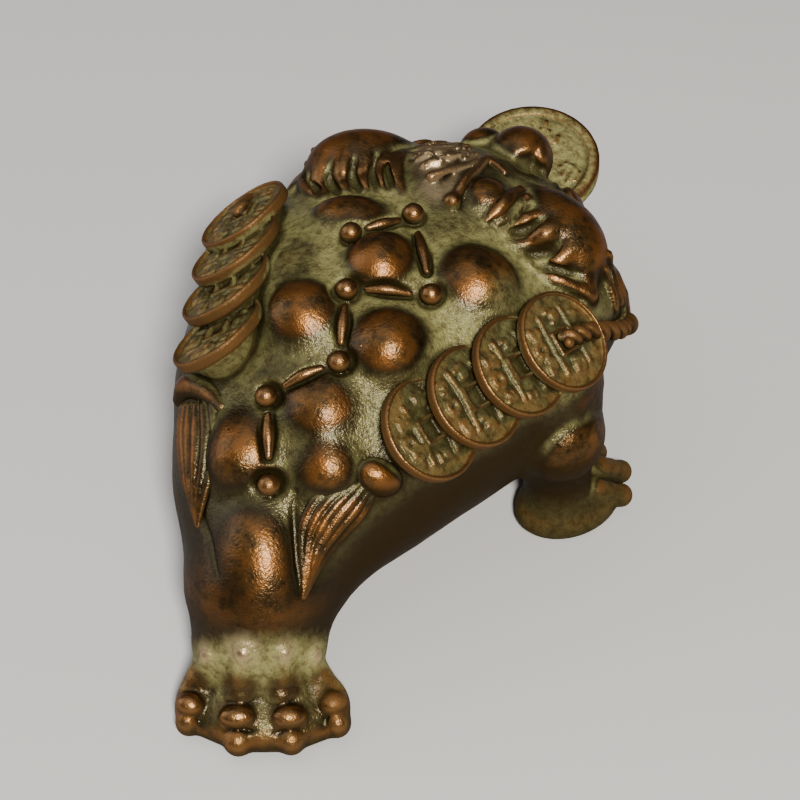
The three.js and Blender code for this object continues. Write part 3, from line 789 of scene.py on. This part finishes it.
# %% [markdown]
# ## The coin in the mouth
#
# The toad bites on a larger coin, with a wide rim and a few blocks of strokes. It could be
# a cylinder of its own, but the form of the string coins serves with other numbers.

# %% The coin in the mouth
mouth = Coin((-1, -28, 18), (-0.05, 0.18, 1), (1, 0, 0), 6.4, 0.85, rim=1.15, relief=0.4, plug=0.9)
mouth_cast = Cast("mouth_coin", mouth.centre - 7.5, mouth.centre + 7.5, FINE_CELL)
mouth_cast.add(mouth, 0.1)
for u, v in ((3.6, 0), (-3.6, 0), (0, 3.6), (0, -3.6)):
    glyph(mouth_cast, mouth, u, v, strokes(random, 6, 1.1), random.uniform(0.3, 0.45))
mouth_cast.mesh()

# %% [markdown]
# ## Ropes
#
# A twisted rope comes out of the first coin's hole, bends over its rim and ends at the
# corner of the mouth. Two strands wind round one smooth path, half a turn apart. A screw
# modifier makes a straight rope only, while this one follows any path.

# %% Ropes from the first coins to the corners of the mouth
ROPE_RADIUS, ROPE_CELL, TURNS = 0.9, 0.12, 4.4
STRAND_RADIUS, STRAND_SHIFT = 0.48, 0.42
for side, coin in first_coins.items():
    bend, corner = np.array([(side * 17.3, -10.7, 18.7), (side * 17.1, -13.4, 17.0)])
    out = unit(corner - coin.centre)
    rim = coin.centre + out * 3.6 + coin.z * (COIN_HALF + ROPE_RADIUS * 0.7)
    path = smooth([coin.centre + coin.z * 0.4, rim, bend, corner], ROPE_RADIUS, 24).points
    rope = Cast("rope_right" if side < 0 else "rope_left",
                path.min(0) - 2.5, path.max(0) + 2.5, ROPE_CELL)
    for phase in (0, math.pi):
        twist = []
        for i, point in enumerate(path):
            tangent = unit(path[min(i + 1, len(path) - 1)] - path[max(i - 1, 0)])
            across = unit(np.cross((0, 0, 1), tangent))
            lift = np.cross(tangent, across)
            angle = 2 * math.pi * TURNS * i / len(path) + phase
            turned = across * math.cos(angle) + lift * math.sin(angle)
            twist.append(point + turned * STRAND_SHIFT)
        rope.add(Chain(twist, STRAND_RADIUS), 0.08)
    rope.add(Egg(corner, (1.2, 1.1, 1.1)), 0.2)
    rope.mesh()

# %% [markdown]
# ## Beads and tassels
#
# Each string ends in a bead and a flat tassel that narrows to a point down the leg. Hair
# curves would suit a real tassel, but this one is cast, and as stiff as the rest. Two
# edges are drawn for it and the strands are spread between them, raised in the middle.
# A soft core below fills the gaps.

# %% Beads and tassels below the last coins: strands that fan out between two edges
TASSELS = {
    "tassel_right": ([(-4.3, 15.5, 18.8), (-2.9, 17.4, 17.9), (-2.5, 19.2, 16.6), (-2.9, 20.7, 15.1),
                      (-4.4, 23.4, 12.2)],
                     [(-6.4, 14.9, 17.5), (-6, 16.4, 16.2), (-5.3, 18, 15.1), (-4.6, 20.3, 13.7),
                      (-4.6, 23.3, 12.1)]),
    "tassel_left": ([(9, 14.4, 19.8), (7.3, 16.7, 18.9), (6.7, 18.4, 17.7), (6.5, 20.3, 16),
                     (6.3, 22.1, 14.1)],
                    [(12.5, 13.7, 17.3), (11.7, 15.3, 16.5), (10.2, 17.7, 15.7), (8.6, 19.8, 14.9),
                     (6.4, 22.2, 13.9)]),
}
BEAD_ALONG, BEAD_ACROSS = unit((-0.8, -0.35, -0.5)), unit((-0.35, 0.93, -0.1))
BEAD_AXES = np.array([BEAD_ALONG, BEAD_ACROSS, np.cross(BEAD_ALONG, BEAD_ACROSS)])
BEADS = {
    "tassel_right": Egg((-6.3, 13.7, 18.4), (2.3, 1.6, 1.8), axes=BEAD_AXES),
    "tassel_left": smooth([(13.6, 12.4, 16.6), (12.7, 12.4, 18.6), (10.6, 13, 19.8),
                           (8.2, 14.3, 20.2)], [0.8, 1.1, 1.05, 0.55]),
}
STRANDS = 6
for name, edges in TASSELS.items():
    first, second = np.array(edges)
    low, high = np.min([first, second], (0, 1)) - 4, np.max([first, second], (0, 1)) + 4
    piece = Cast(name, low, high, FINE_CELL)
    piece.add(BEADS[name], 0.1)
    middle = (first + second) / 2
    piece.add(ridge(middle, [0.8, 1.3, 1.3, 0.9, 0.3], [-0.6, -0.7, -0.6, -0.3, -0.1]), 0.3)
    for share in np.linspace(0, 1, STRANDS):
        lift = 0.1 + 0.4 * math.sin(math.pi * share)
        strand = first + (second - first) * share
        lifts = np.multiply(lift, [0.6, 1, 1, 0.7, 0])
        piece.add(ridge(strand, [0.42, 0.52, 0.48, 0.34, 0.16], lifts), 0.03)
    piece.mesh()

# %% [markdown]
# ## Hollows and high points
#
# Patina stays in the hollows and handling polishes what stands proud. The share of metal
# in a small ball round a point says which one it is: half on a plane, more in a hollow.
# Blender has a Pointiness output, but it depends on the mesh and isn't exported. A blur
# of our own grid gives the same at three sizes, and it is stored on the points.

# %% Reading a block between its points, and writing on a mesh
def sampled(block, low, cell, points):
    """Values of a block between its points, and which points lie inside it."""
    place = (points - low) / cell
    inside = ((place >= 0) & (place < np.array(block.shape) - 1.001)).all(1)
    place = np.clip(place, 0, np.array(block.shape) - 1.001)
    i = place.astype(int)
    f = (place - i).astype(np.float32)
    total = 0
    for corner in np.ndindex(2, 2, 2):
        weight = np.prod([f[:, k] if corner[k] else 1 - f[:, k] for k in range(3)], axis=0)
        total = total + weight * block[tuple((i + corner).T)]
    return total, inside


def corners_of(cast):
    spots = np.empty(len(bpy.data.objects[cast.name].data.vertices) * 3, np.float32)
    bpy.data.objects[cast.name].data.vertices.foreach_get("co", spots)
    return spots.reshape(-1, 3) / MM


def paint(cast, name, value):
    attribute = bpy.data.objects[cast.name].data.attributes.new(name, "FLOAT", "POINT")
    attribute.data.foreach_set("value", value.astype(np.float32))


print("corners to paint:", sum(len(corners_of(cast)) for cast in casts))

# %% [markdown]
# ## One block for the whole toad
#
# Dirt doesn't stop where one piece meets the next: the seam below a coin is a hollow too.
# Joining the meshes would show that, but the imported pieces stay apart. So the blocks of
# all pieces are laid over each other in one coarse block, as shares of metal.

# %% Share of metal on one coarse grid
CELL = 0.33
LOW = np.array([-25.0, -38.0, -3.0])
SHAPE = np.ceil((np.array([25, 38, 34]) - LOW) / CELL).astype(int)
metal = np.zeros(SHAPE, np.float32)
for cast in casts:
    first = np.clip(((cast.low - LOW) / CELL).astype(int), 0, SHAPE)
    last = np.clip(((cast.low + cast.shape * cast.cell - LOW) / CELL).astype(int) + 1, 0, SHAPE)
    index = np.stack(np.meshgrid(*[np.arange(a, b) for a, b in zip(first, last)],
                                 indexing="ij"), -1)
    depth, inside = sampled(cast.depth, cast.low, cast.cell, index.reshape(-1, 3) * CELL + LOW)
    share = np.where(inside, np.clip(0.5 - depth / CELL, 0, 1), 0).reshape(index.shape[:3])
    cells = tuple(slice(a, b) for a, b in zip(first, last))
    metal[cells] = np.maximum(metal[cells], share)
print("coarse block:", metal.shape, "metal in cubic cm:", round(metal.sum() * CELL ** 3 / 1000, 1))

# %% [markdown]
# ## Three sizes of hollow
#
# Wide valleys between the warts hold patina, narrow creases hold grime and painted shade, and the
# finest edges wear bare. A blur over few points finds the small ones and a blur over many the large
# ones. Ambient occlusion in the shader is close to this, but it is slow and gives one size only.


# %% Blur, and store the shares on the points
def blurred(block, half):
    """Three passes of a box blur along each axis, over 2 half + 1 points."""
    for _ in range(3):
        for axis in range(3):
            pad = [(half + 1, half) if k == axis else (0, 0) for k in range(3)]
            total = np.cumsum(np.pad(block, pad, mode="edge"), axis=axis, dtype=np.float64)
            ends = np.take(total, range(2 * half + 1, total.shape[axis]), axis=axis)
            starts = np.take(total, range(0, total.shape[axis] - 2 * half - 1), axis=axis)
            block = ((ends - starts) / (2 * half + 1)).astype(np.float32)
    return block


for name, half in (("fine", 1), ("broad", 3)):
    share = blurred(metal, half)
    for cast in casts:
        paint(cast, name, sampled(share, LOW, CELL, corners_of(cast))[0])
for cast in casts:
    share = blurred(np.clip(0.5 - cast.depth / cast.cell, 0, 1), 1)
    value, _ = sampled(share, cast.low, cast.cell, corners_of(cast))
    paint(cast, "tip", value)
    print(cast.name, "share of metal:", np.percentile(value, (5, 50, 95)).round(2))

# %% [markdown]
# ## Dust, rubbing and shade
#
# Some wear follows use and not shape. The coins and the instep are dull, the caps of the toes and the
# plate are rubbed, and what faces up is painted lighter and redder, partly as polish and partly as
# painted light, while what faces down or sits low gets painted shade. Each of these is a soft spot or
# a slope along an axis, stored as an attribute of its own.

# %% Which pieces are dull, hazy or sooty, and the spots that are rubbed or dusty
DULL = {"mouth_coin": 1.0, "coins_left": 0.4, "coins_right": 0.35}
HAZY = {"coins_left": 0.75, "coins_right": 0.6}
SOOTY = {"rope_right": 0.55, "rope_left": 0.55, "coins_right": 0.8, "coins_left": 0.8}
CROWN, CROWN_SPREAD = (-1, -12.8, 27.5), 4.2
DUSTY = [((9, 0.5, 26), 4), ((-9.2, -3.3, 25.4), 2.2), ((-2.2, -7.2, 27.4), 2.4)]
# the plate and the ends of its bars are rubbed, and pale with a painted highlight
rubbed_spots.append(((1.6, -14.7, 27.9), 2.9, 0.9, 0.6))  # the plate of the crown
rubbed_spots.append(((0.4, -10.9, 27.8), 1.7, 0.5, 0.3))  # the ends of its bars
INSTEP_WAY = np.array([-0.508, 0.861, -0.6])  # down the hind leg to the toes


def near(spots, centre, radius):
    """One at the centre, falling softly to zero at 1.4 radii."""
    away = np.linalg.norm(spots - np.array(centre), axis=1)
    return np.clip(1.4 - away / radius, 0, 0.7) / 0.7


def strongest(spots, rows, column):
    return np.max([near(spots, row[0], row[1]) * row[column] for row in rows], 0)


print(len(rubbed_spots), "rubbed spots and", len(DUSTY), "dusty ones")

# %% [markdown]
# ## Slopes of the wear and of the painted shade
#
# On the old figure patina is thick on the front of the back, thin on the rump and thick
# again at the instep. Weight Paint would put it on by hand. Written as slopes it can be
# repeated, and each number can be changed. A slope is two rows: the places where it
# bends, and how strong the wear is at each of them.

# %% Slopes
PATINA_ALONG = ([-24, 4, 8, 18, 21, 26, 28], [1, 1, 0.6, 0.4, 0.15, 0.15, 0.8])  # snout to toes
PATINA_UPWARD = ([0.2, 0.75], [0.03, 1])  # places here are how far a spot faces up
PATINA_HEIGHT = ([1.5, 3.5], [0.1, 1])
LOW_SHADE_HEIGHT = ([2, 10], [0.2, 1])  # painted shade: legs and belly darker towards the ground than the back
HIND_FOOT_START = 27
INSTEP_ALONG, INSTEP_HEIGHT = ([18.1, 19.9], [0, 0.8]), ([2.2, 4], [0.05, 1])
FRONT_FEET_ALONG, FRONT_FEET_HEIGHT = ([2, 4], [0.12, 0]), ([3.5, 6], [1, 0])
# how far a spot faces up, or out of a coin's face: polish and painted light there, painted shade
# where it faces away
LIT_AND_HANDLED_UPWARD, LIT_AND_HANDLED_COIN = ([0.05, 0.55], [0.05, 1]), ([0.2, 0.7], [0.15, 1])
print("Patina on the rump:", np.interp(12, *PATINA_ALONG), "of that on the front")

# %% [markdown]
# ## Painting the wear, and painted light and shade
#
# Patina settles on what faces up. Hands polish the same side, and it is painted lighter there as
# painted light, with painted shade on what faces down, so both ask for the way out at each point. A
# coin is polished and painted light on its face instead, with painted shade on its sides, whichever
# way that leans.
# Rubbing takes off patina and dust. Vertex groups could hold the values as weights, but
# plain attributes need no list of points for each.

# %% Patina, dust, rubbing, polish, painted light and painted shade on every piece
for cast in casts:
    spots = corners_of(cast)
    _, y, z = spots.T
    outward = np.empty(len(spots) * 3, np.float32)
    bpy.data.objects[cast.name].data.vertices.foreach_get("normal", outward)
    outward = outward.reshape(-1, 3)
    # painted shade on legs and belly, darker towards the ground, except on the hind foot; it also
    # thins the patina there
    low_shade = np.where(y < HIND_FOOT_START, np.interp(z, *LOW_SHADE_HEIGHT), 1)
    rubbed = strongest(spots, rubbed_spots, 2)

    haze = np.interp(y, *PATINA_ALONG)
    haze *= np.interp(outward[:, 2], *PATINA_UPWARD) * low_shade * HAZY.get(cast.name, 1)
    haze *= np.interp(z, *PATINA_HEIGHT) * (1 - rubbed)
    haze *= 1 - 0.75 * near(spots, CROWN, CROWN_SPREAD)

    instep = np.interp(spots @ INSTEP_WAY, *INSTEP_ALONG) * np.interp(z, *INSTEP_HEIGHT)
    feet = np.interp(y, *FRONT_FEET_ALONG) * np.interp(z, *FRONT_FEET_HEIGHT)
    dusty = np.max([near(spots, *spot) for spot in DUSTY], 0) * 0.5
    all_over = np.full(len(spots), DULL.get(cast.name, 0.0))
    dull = np.max([instep, feet, dusty, all_over], 0) * (1 - rubbed)

    # lighter and redder where a spot faces up or out of a coin: partly polish, partly painted light;
    # painted shade where it faces down or sits low
    facing = np.interp(outward[:, 2], *LIT_AND_HANDLED_UPWARD)
    if cast.name in coin_axes:
        facing = np.interp(outward @ coin_axes[cast.name], *LIT_AND_HANDLED_COIN)
    handled_and_lit = facing * low_shade * SOOTY.get(cast.name, 1.0)

    paint(cast, "haze", haze)
    paint(cast, "dull", dull)
    paint(cast, "rubbed", rubbed)
    paint(cast, "pale_and_highlight", strongest(spots, rubbed_spots, 3))
    paint(cast, "handled_and_lit", handled_and_lit)
    print(cast.name, "haze", haze.mean().round(2), "handled_and_lit", handled_and_lit.mean().round(2))

# %% [markdown]
# ## Bronze
#
# Old bronze is dark brown metal, redder where hands polish it, with olive dust in the valleys and
# near-black grime in the creases. Light and shade are painted in as well: lighter and redder on what
# faces up, darker on what faces down and low down, darker in the creases, and a pale highlight on a
# few rubbed spots. A picture wrapped round it would show one side only. We mix the finish from noise
# and from the values on the points, so that it is right from every side. First we need the shader and
# the sources to mix from.

# %% The bronze, and where its values come from
bronze = bpy.data.materials.new("bronze")
bronze.use_nodes = True
nodes, wires = bronze.node_tree.nodes, bronze.node_tree.links
shader = nodes["Principled BSDF"]
place = nodes.new("ShaderNodeTexCoord")


def socket(value, target):
    if isinstance(value, bpy.types.NodeSocket):
        wires.new(value, target)
    else:
        target.default_value = value


def attribute(name):
    node = nodes.new("ShaderNodeAttribute")
    node.attribute_name = name
    return node.outputs["Fac"]


def noise(scale, detail=4, rough=0.55):
    node = nodes.new("ShaderNodeTexNoise")
    node.inputs["Scale"].default_value = scale
    node.inputs["Detail"].default_value = detail
    node.inputs["Roughness"].default_value = rough
    wires.new(place.outputs["Object"], node.inputs["Vector"])
    return node.outputs["Fac"]


print("the shader has", len(shader.inputs), "inputs")

# %% [markdown]
# ## Sums of masks
#
# A mask is a number from nought to one at each spot, such as how thick the patina is. In
# the node editor we would wire some ninety boxes by hand to combine them. Short functions
# make the same boxes, and a line of them reads like a sum.


# %% Helpers that add, multiply, sharpen and mix
def math_node(kind, a, b):
    node = nodes.new("ShaderNodeMath")
    node.operation = kind
    socket(a, node.inputs[0])
    socket(b, node.inputs[1])
    return node.outputs[0]


def plus(a, b):
    return math_node("ADD", a, b)


def minus(a, b):
    return math_node("SUBTRACT", a, b)


def times(a, b):
    return math_node("MULTIPLY", a, b)


def most(a, b):
    return math_node("MAXIMUM", a, b)


def ramp(value, low, high):
    node = nodes.new("ShaderNodeMapRange")
    node.interpolation_type = "SMOOTHSTEP"
    socket(value, node.inputs["Value"])
    node.inputs["From Min"].default_value = low
    node.inputs["From Max"].default_value = high
    return node.outputs["Result"]


def mix(factor, a, b):
    node = nodes.new("ShaderNodeMix")
    node.data_type = "RGBA"
    socket(factor, node.inputs["Factor"])
    socket(a, node.inputs[6])  # the colour sockets A and B
    socket(b, node.inputs[7])
    return node.outputs[2]


print(len(nodes), "nodes before the mixing")

# %% [markdown]
# ## Where patina, grime, painted shade and wear lie
#
# On the casting these borders are soft but ragged. Smooth ramps on the stored shares draw
# them, and a little noise added before each ramp frays them. A share above one half means
# a hollow, and below it a high point. Dull parts keep their dust except on worn edges.

# %% Masks of patina, grime with painted shade, worn edges and rubbed spots
mottle = noise(380, 5, 0.6)
speckle = noise(1500, 3, 0.7)
clouds = noise(85, 3, 0.5)
broad = plus(attribute("broad"), times(minus(mottle, 0.5), 0.06))
fine = plus(attribute("fine"), times(minus(speckle, 0.5), 0.08))

hollow = ramp(broad, 0.45, 0.55)
# narrow creases, darkened near black later: grime and painted shade
crease = ramp(fine, 0.54, 0.66)
proud = ramp(broad, 0.49, 0.41)
edge = ramp(fine, 0.43, 0.31)
ridge_top = ramp(attribute("tip"), 0.46, 0.34)
# the last mask is polish and painted light on what faces up, and painted shade on what faces down or
# sits low
dull, rubbed, handled_and_lit = attribute("dull"), attribute("rubbed"), attribute("handled_and_lit")

patchy = ramp(plus(times(clouds, 0.5), times(mottle, 0.5)), 0.35, 0.6)
patina = times(times(hollow, attribute("haze")), plus(times(patchy, 0.3), 0.66))
worn = minus(1.0, most(edge, ridge_top))
dusty = times(dull, plus(times(speckle, 0.5), 0.68))
patina = most(patina, times(dusty, worn))
bright = most(times(edge, minus(1.0, times(dull, 0.5))), times(ridge_top, 0.6))
bright = times(bright, plus(times(handled_and_lit, 0.7), 0.3))
bright = most(bright, times(rubbed, 0.2))
print(len(nodes), "nodes so far")

# %% [markdown]
# ## Colours
#
# Copper metal turns brown, then nearly black, and its salts are green. So we start with dark metal,
# which also stays as painted shade where things face down or sit low, redden what hands reach and
# what faces up, partly as polish and partly as painted light, brighten the edges, make a few rubbed
# spots pale with a painted highlight, and lay patina and grime with painted shade over it in that
# order. Each layer is a Mix node with one of the masks as its factor.

# %% Colours of metal, patina and grime, with painted light and painted shade
# DARK is the metal's dark tone, and also painted shade on what faces down or sits low
DARK = (0.018, 0.011, 0.004, 1)
BROWN = (0.096, 0.049, 0.014, 1)
RUST = (0.165, 0.066, 0.015, 1)
COPPER = (0.190, 0.096, 0.034, 1)
# pale rubbed metal and a painted highlight, on the crown plate and the small instep lumps
PALE_AND_HIGHLIGHT = (0.420, 0.320, 0.190, 1)
OLIVE = (0.230, 0.218, 0.086, 1)
UMBER = (0.105, 0.090, 0.034, 1)
GRIME_AND_SHADE = (0.018, 0.013, 0.004, 1)
blots = plus(times(mottle, 0.6), times(speckle, 0.4))
# red on high points that face up: polish and painted light; the dark metal left elsewhere is partly
# painted shade
red = times(times(proud, ramp(blots, 0.3, 0.55)), handled_and_lit)
metal_colour = mix(red, DARK, mix(ramp(mottle, 0.4, 0.6), BROWN, RUST))
metal_colour = mix(attribute("pale_and_highlight"), mix(bright, metal_colour, COPPER), PALE_AND_HIGHLIGHT)
patina_colour = mix(ramp(speckle, 0.3, 0.62), UMBER, OLIVE)
colour = mix(patina, metal_colour, patina_colour)
# near black in the narrow creases: grime and painted shade
colour = mix(times(crease, 0.8), colour, GRIME_AND_SHADE)
wires.new(colour, shader.inputs["Base Color"])
print("colour mixed from", sum(node.type == "MIX" for node in nodes), "layers")

# %% [markdown]
# ## Metal, gloss and wax
#
# Polished metal is glossy and patina is chalky, so both values go down with the mask of
# patina. A thin coat is the wax that such figures are rubbed with, and gives the small
# white lights. Pits and scratches are finer than our grid, so they are a bump.

# %% Metal and gloss, the bump of fine pits, and the coat of wax
metallic = plus(times(bright, 0.3), plus(times(handled_and_lit, 0.7), 0.1))
wires.new(minus(metallic, times(patina, 0.6)), shader.inputs["Metallic"])
rough = plus(times(patina, 0.22), times(mottle, 0.2))
rough = plus(rough, times(bright, 0.02))
rough = minus(rough, times(handled_and_lit, 0.25))
wires.new(plus(rough, 0.5), shader.inputs["Roughness"])
shader.inputs["Specular IOR Level"].default_value = 0.03
shader.inputs["Specular Tint"].default_value = (0.3, 0.22, 0.14, 1)

bump = nodes.new("ShaderNodeBump")
bump.inputs["Strength"].default_value = 0.5
bump.inputs["Distance"].default_value = 0.0002
grain = times(noise(4200, 2, 0.6), plus(patina, 0.5))
height = plus(times(noise(900, 5, 0.65), 0.35), grain)
wires.new(height, bump.inputs["Height"])
wires.new(bump.outputs["Normal"], shader.inputs["Normal"])
wires.new(times(handled_and_lit, 0.3), shader.inputs["Coat Weight"])
shader.inputs["Coat Roughness"].default_value = 0.24
wires.new(bump.outputs["Normal"], shader.inputs["Coat Normal"])
print(len(nodes), "nodes in the bronze")

# %% [markdown]
# ## On the frame
#
# The real toad is one casting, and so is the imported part. One mesh could stand for it too,
# but coins and ropes need a finer grid than the belly, so there are eight. All of them
# move with the one body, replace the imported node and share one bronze.

# %% Bronze on every piece, and every piece on the frame
pieces = [bpy.data.objects[cast.name] for cast in casts]
for piece in pieces:
    piece.data.materials.append(bronze)
    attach(piece, "root")
    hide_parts("toad")
print(len(pieces), "pieces")

# %% [markdown]
# ## Stage
#
# The toad stands on a plain pale floor, so that nothing but the figure draws the eye. One
# wide plane is enough, since its edge is never in the picture.

# %% Floor
FLOOR_WIDTH = 6  # metres
plain = bpy.data.materials.new("floor")
plain.use_nodes = True
plain.node_tree.nodes["Principled BSDF"].inputs["Base Color"].default_value = (0.51, 0.51, 0.53, 1)
plain.node_tree.nodes["Principled BSDF"].inputs["Roughness"].default_value = 0.9
bpy.ops.mesh.primitive_plane_add(size=FLOOR_WIDTH)
floor = bpy.context.object
floor.name = "floor"
floor.data.materials.append(plain)
print("floor", FLOOR_WIDTH, "m wide")

# %% [markdown]
# ## Camera
#
# The photo looks at the toad's back from above its right hind side. We could orbit the
# view until it looks alike, but numbers can be checked: the angle, the focal length and
# the aim were found by laying known points over the picture.

# %% Camera at the photo's angle
AZIMUTH, ELEVATION = math.radians(207.5), math.radians(48)
PICTURE, FOCAL, PX_PER_MM = 800, 2116, 11.3  # the first two in pixels
SENSOR = 36
AIM = Vector((-2.2, 1.7, 14)) * MM
back = Vector((math.sin(AZIMUTH) * math.cos(ELEVATION),
               -math.cos(AZIMUTH) * math.cos(ELEVATION), math.sin(ELEVATION)))
right = Vector((0, 0, 1)).cross(back).normalized()
up = back.cross(right)
camera = bpy.data.objects.new("camera", bpy.data.cameras.new("camera"))
bpy.context.scene.collection.objects.link(camera)
camera.matrix_world = Matrix.Translation(AIM + back * (FOCAL / PX_PER_MM * MM)) @ Matrix(
    (right, up, back)).transposed().to_4x4()
camera.data.sensor_width = SENSOR
camera.data.lens = SENSOR * FOCAL / PICTURE
camera.data.clip_start = 0.01
bpy.context.scene.camera = camera
print("lens of", round(camera.data.lens, 1), "mm")

# %% [markdown]
# ## Light
#
# Bronze shows its form by its highlights. One wide soft box would spread them out, so a
# small lamp beside the camera, a little warm, makes a clear light on each wart. A wide
# one above and a fill at the left keep the shadows open.


# %% Soft studio light
def lamp(name, towards, distance, size, power, tint=(1, 1, 1)):
    light = bpy.data.lights.new(name, "AREA")
    light.shape, light.size, light.energy = "DISK", size, power
    light.color = tint
    item = bpy.data.objects.new(name, light)
    way = Vector(towards).normalized()
    item.location = AIM + way * distance
    item.rotation_euler = way.to_track_quat("Z", "Y").to_euler()
    bpy.context.scene.collection.objects.link(item)


lamp("key", back + right * 0.12, 0.5, 0.09, 4.6, (1, 0.95, 0.83))
lamp("sky", (0.2, 0.1, 1), 0.6, 0.7, 1.2)
lamp("left", -right + up * 0.4 + back * 0.2, 0.5, 0.4, 0.8)
world = bpy.data.worlds.new("world")
world.use_nodes = True
world.node_tree.nodes["Background"].inputs["Color"].default_value = (1, 0.95, 0.88, 1)
world.node_tree.nodes["Background"].inputs["Strength"].default_value = 0.12
bpy.context.scene.world = world
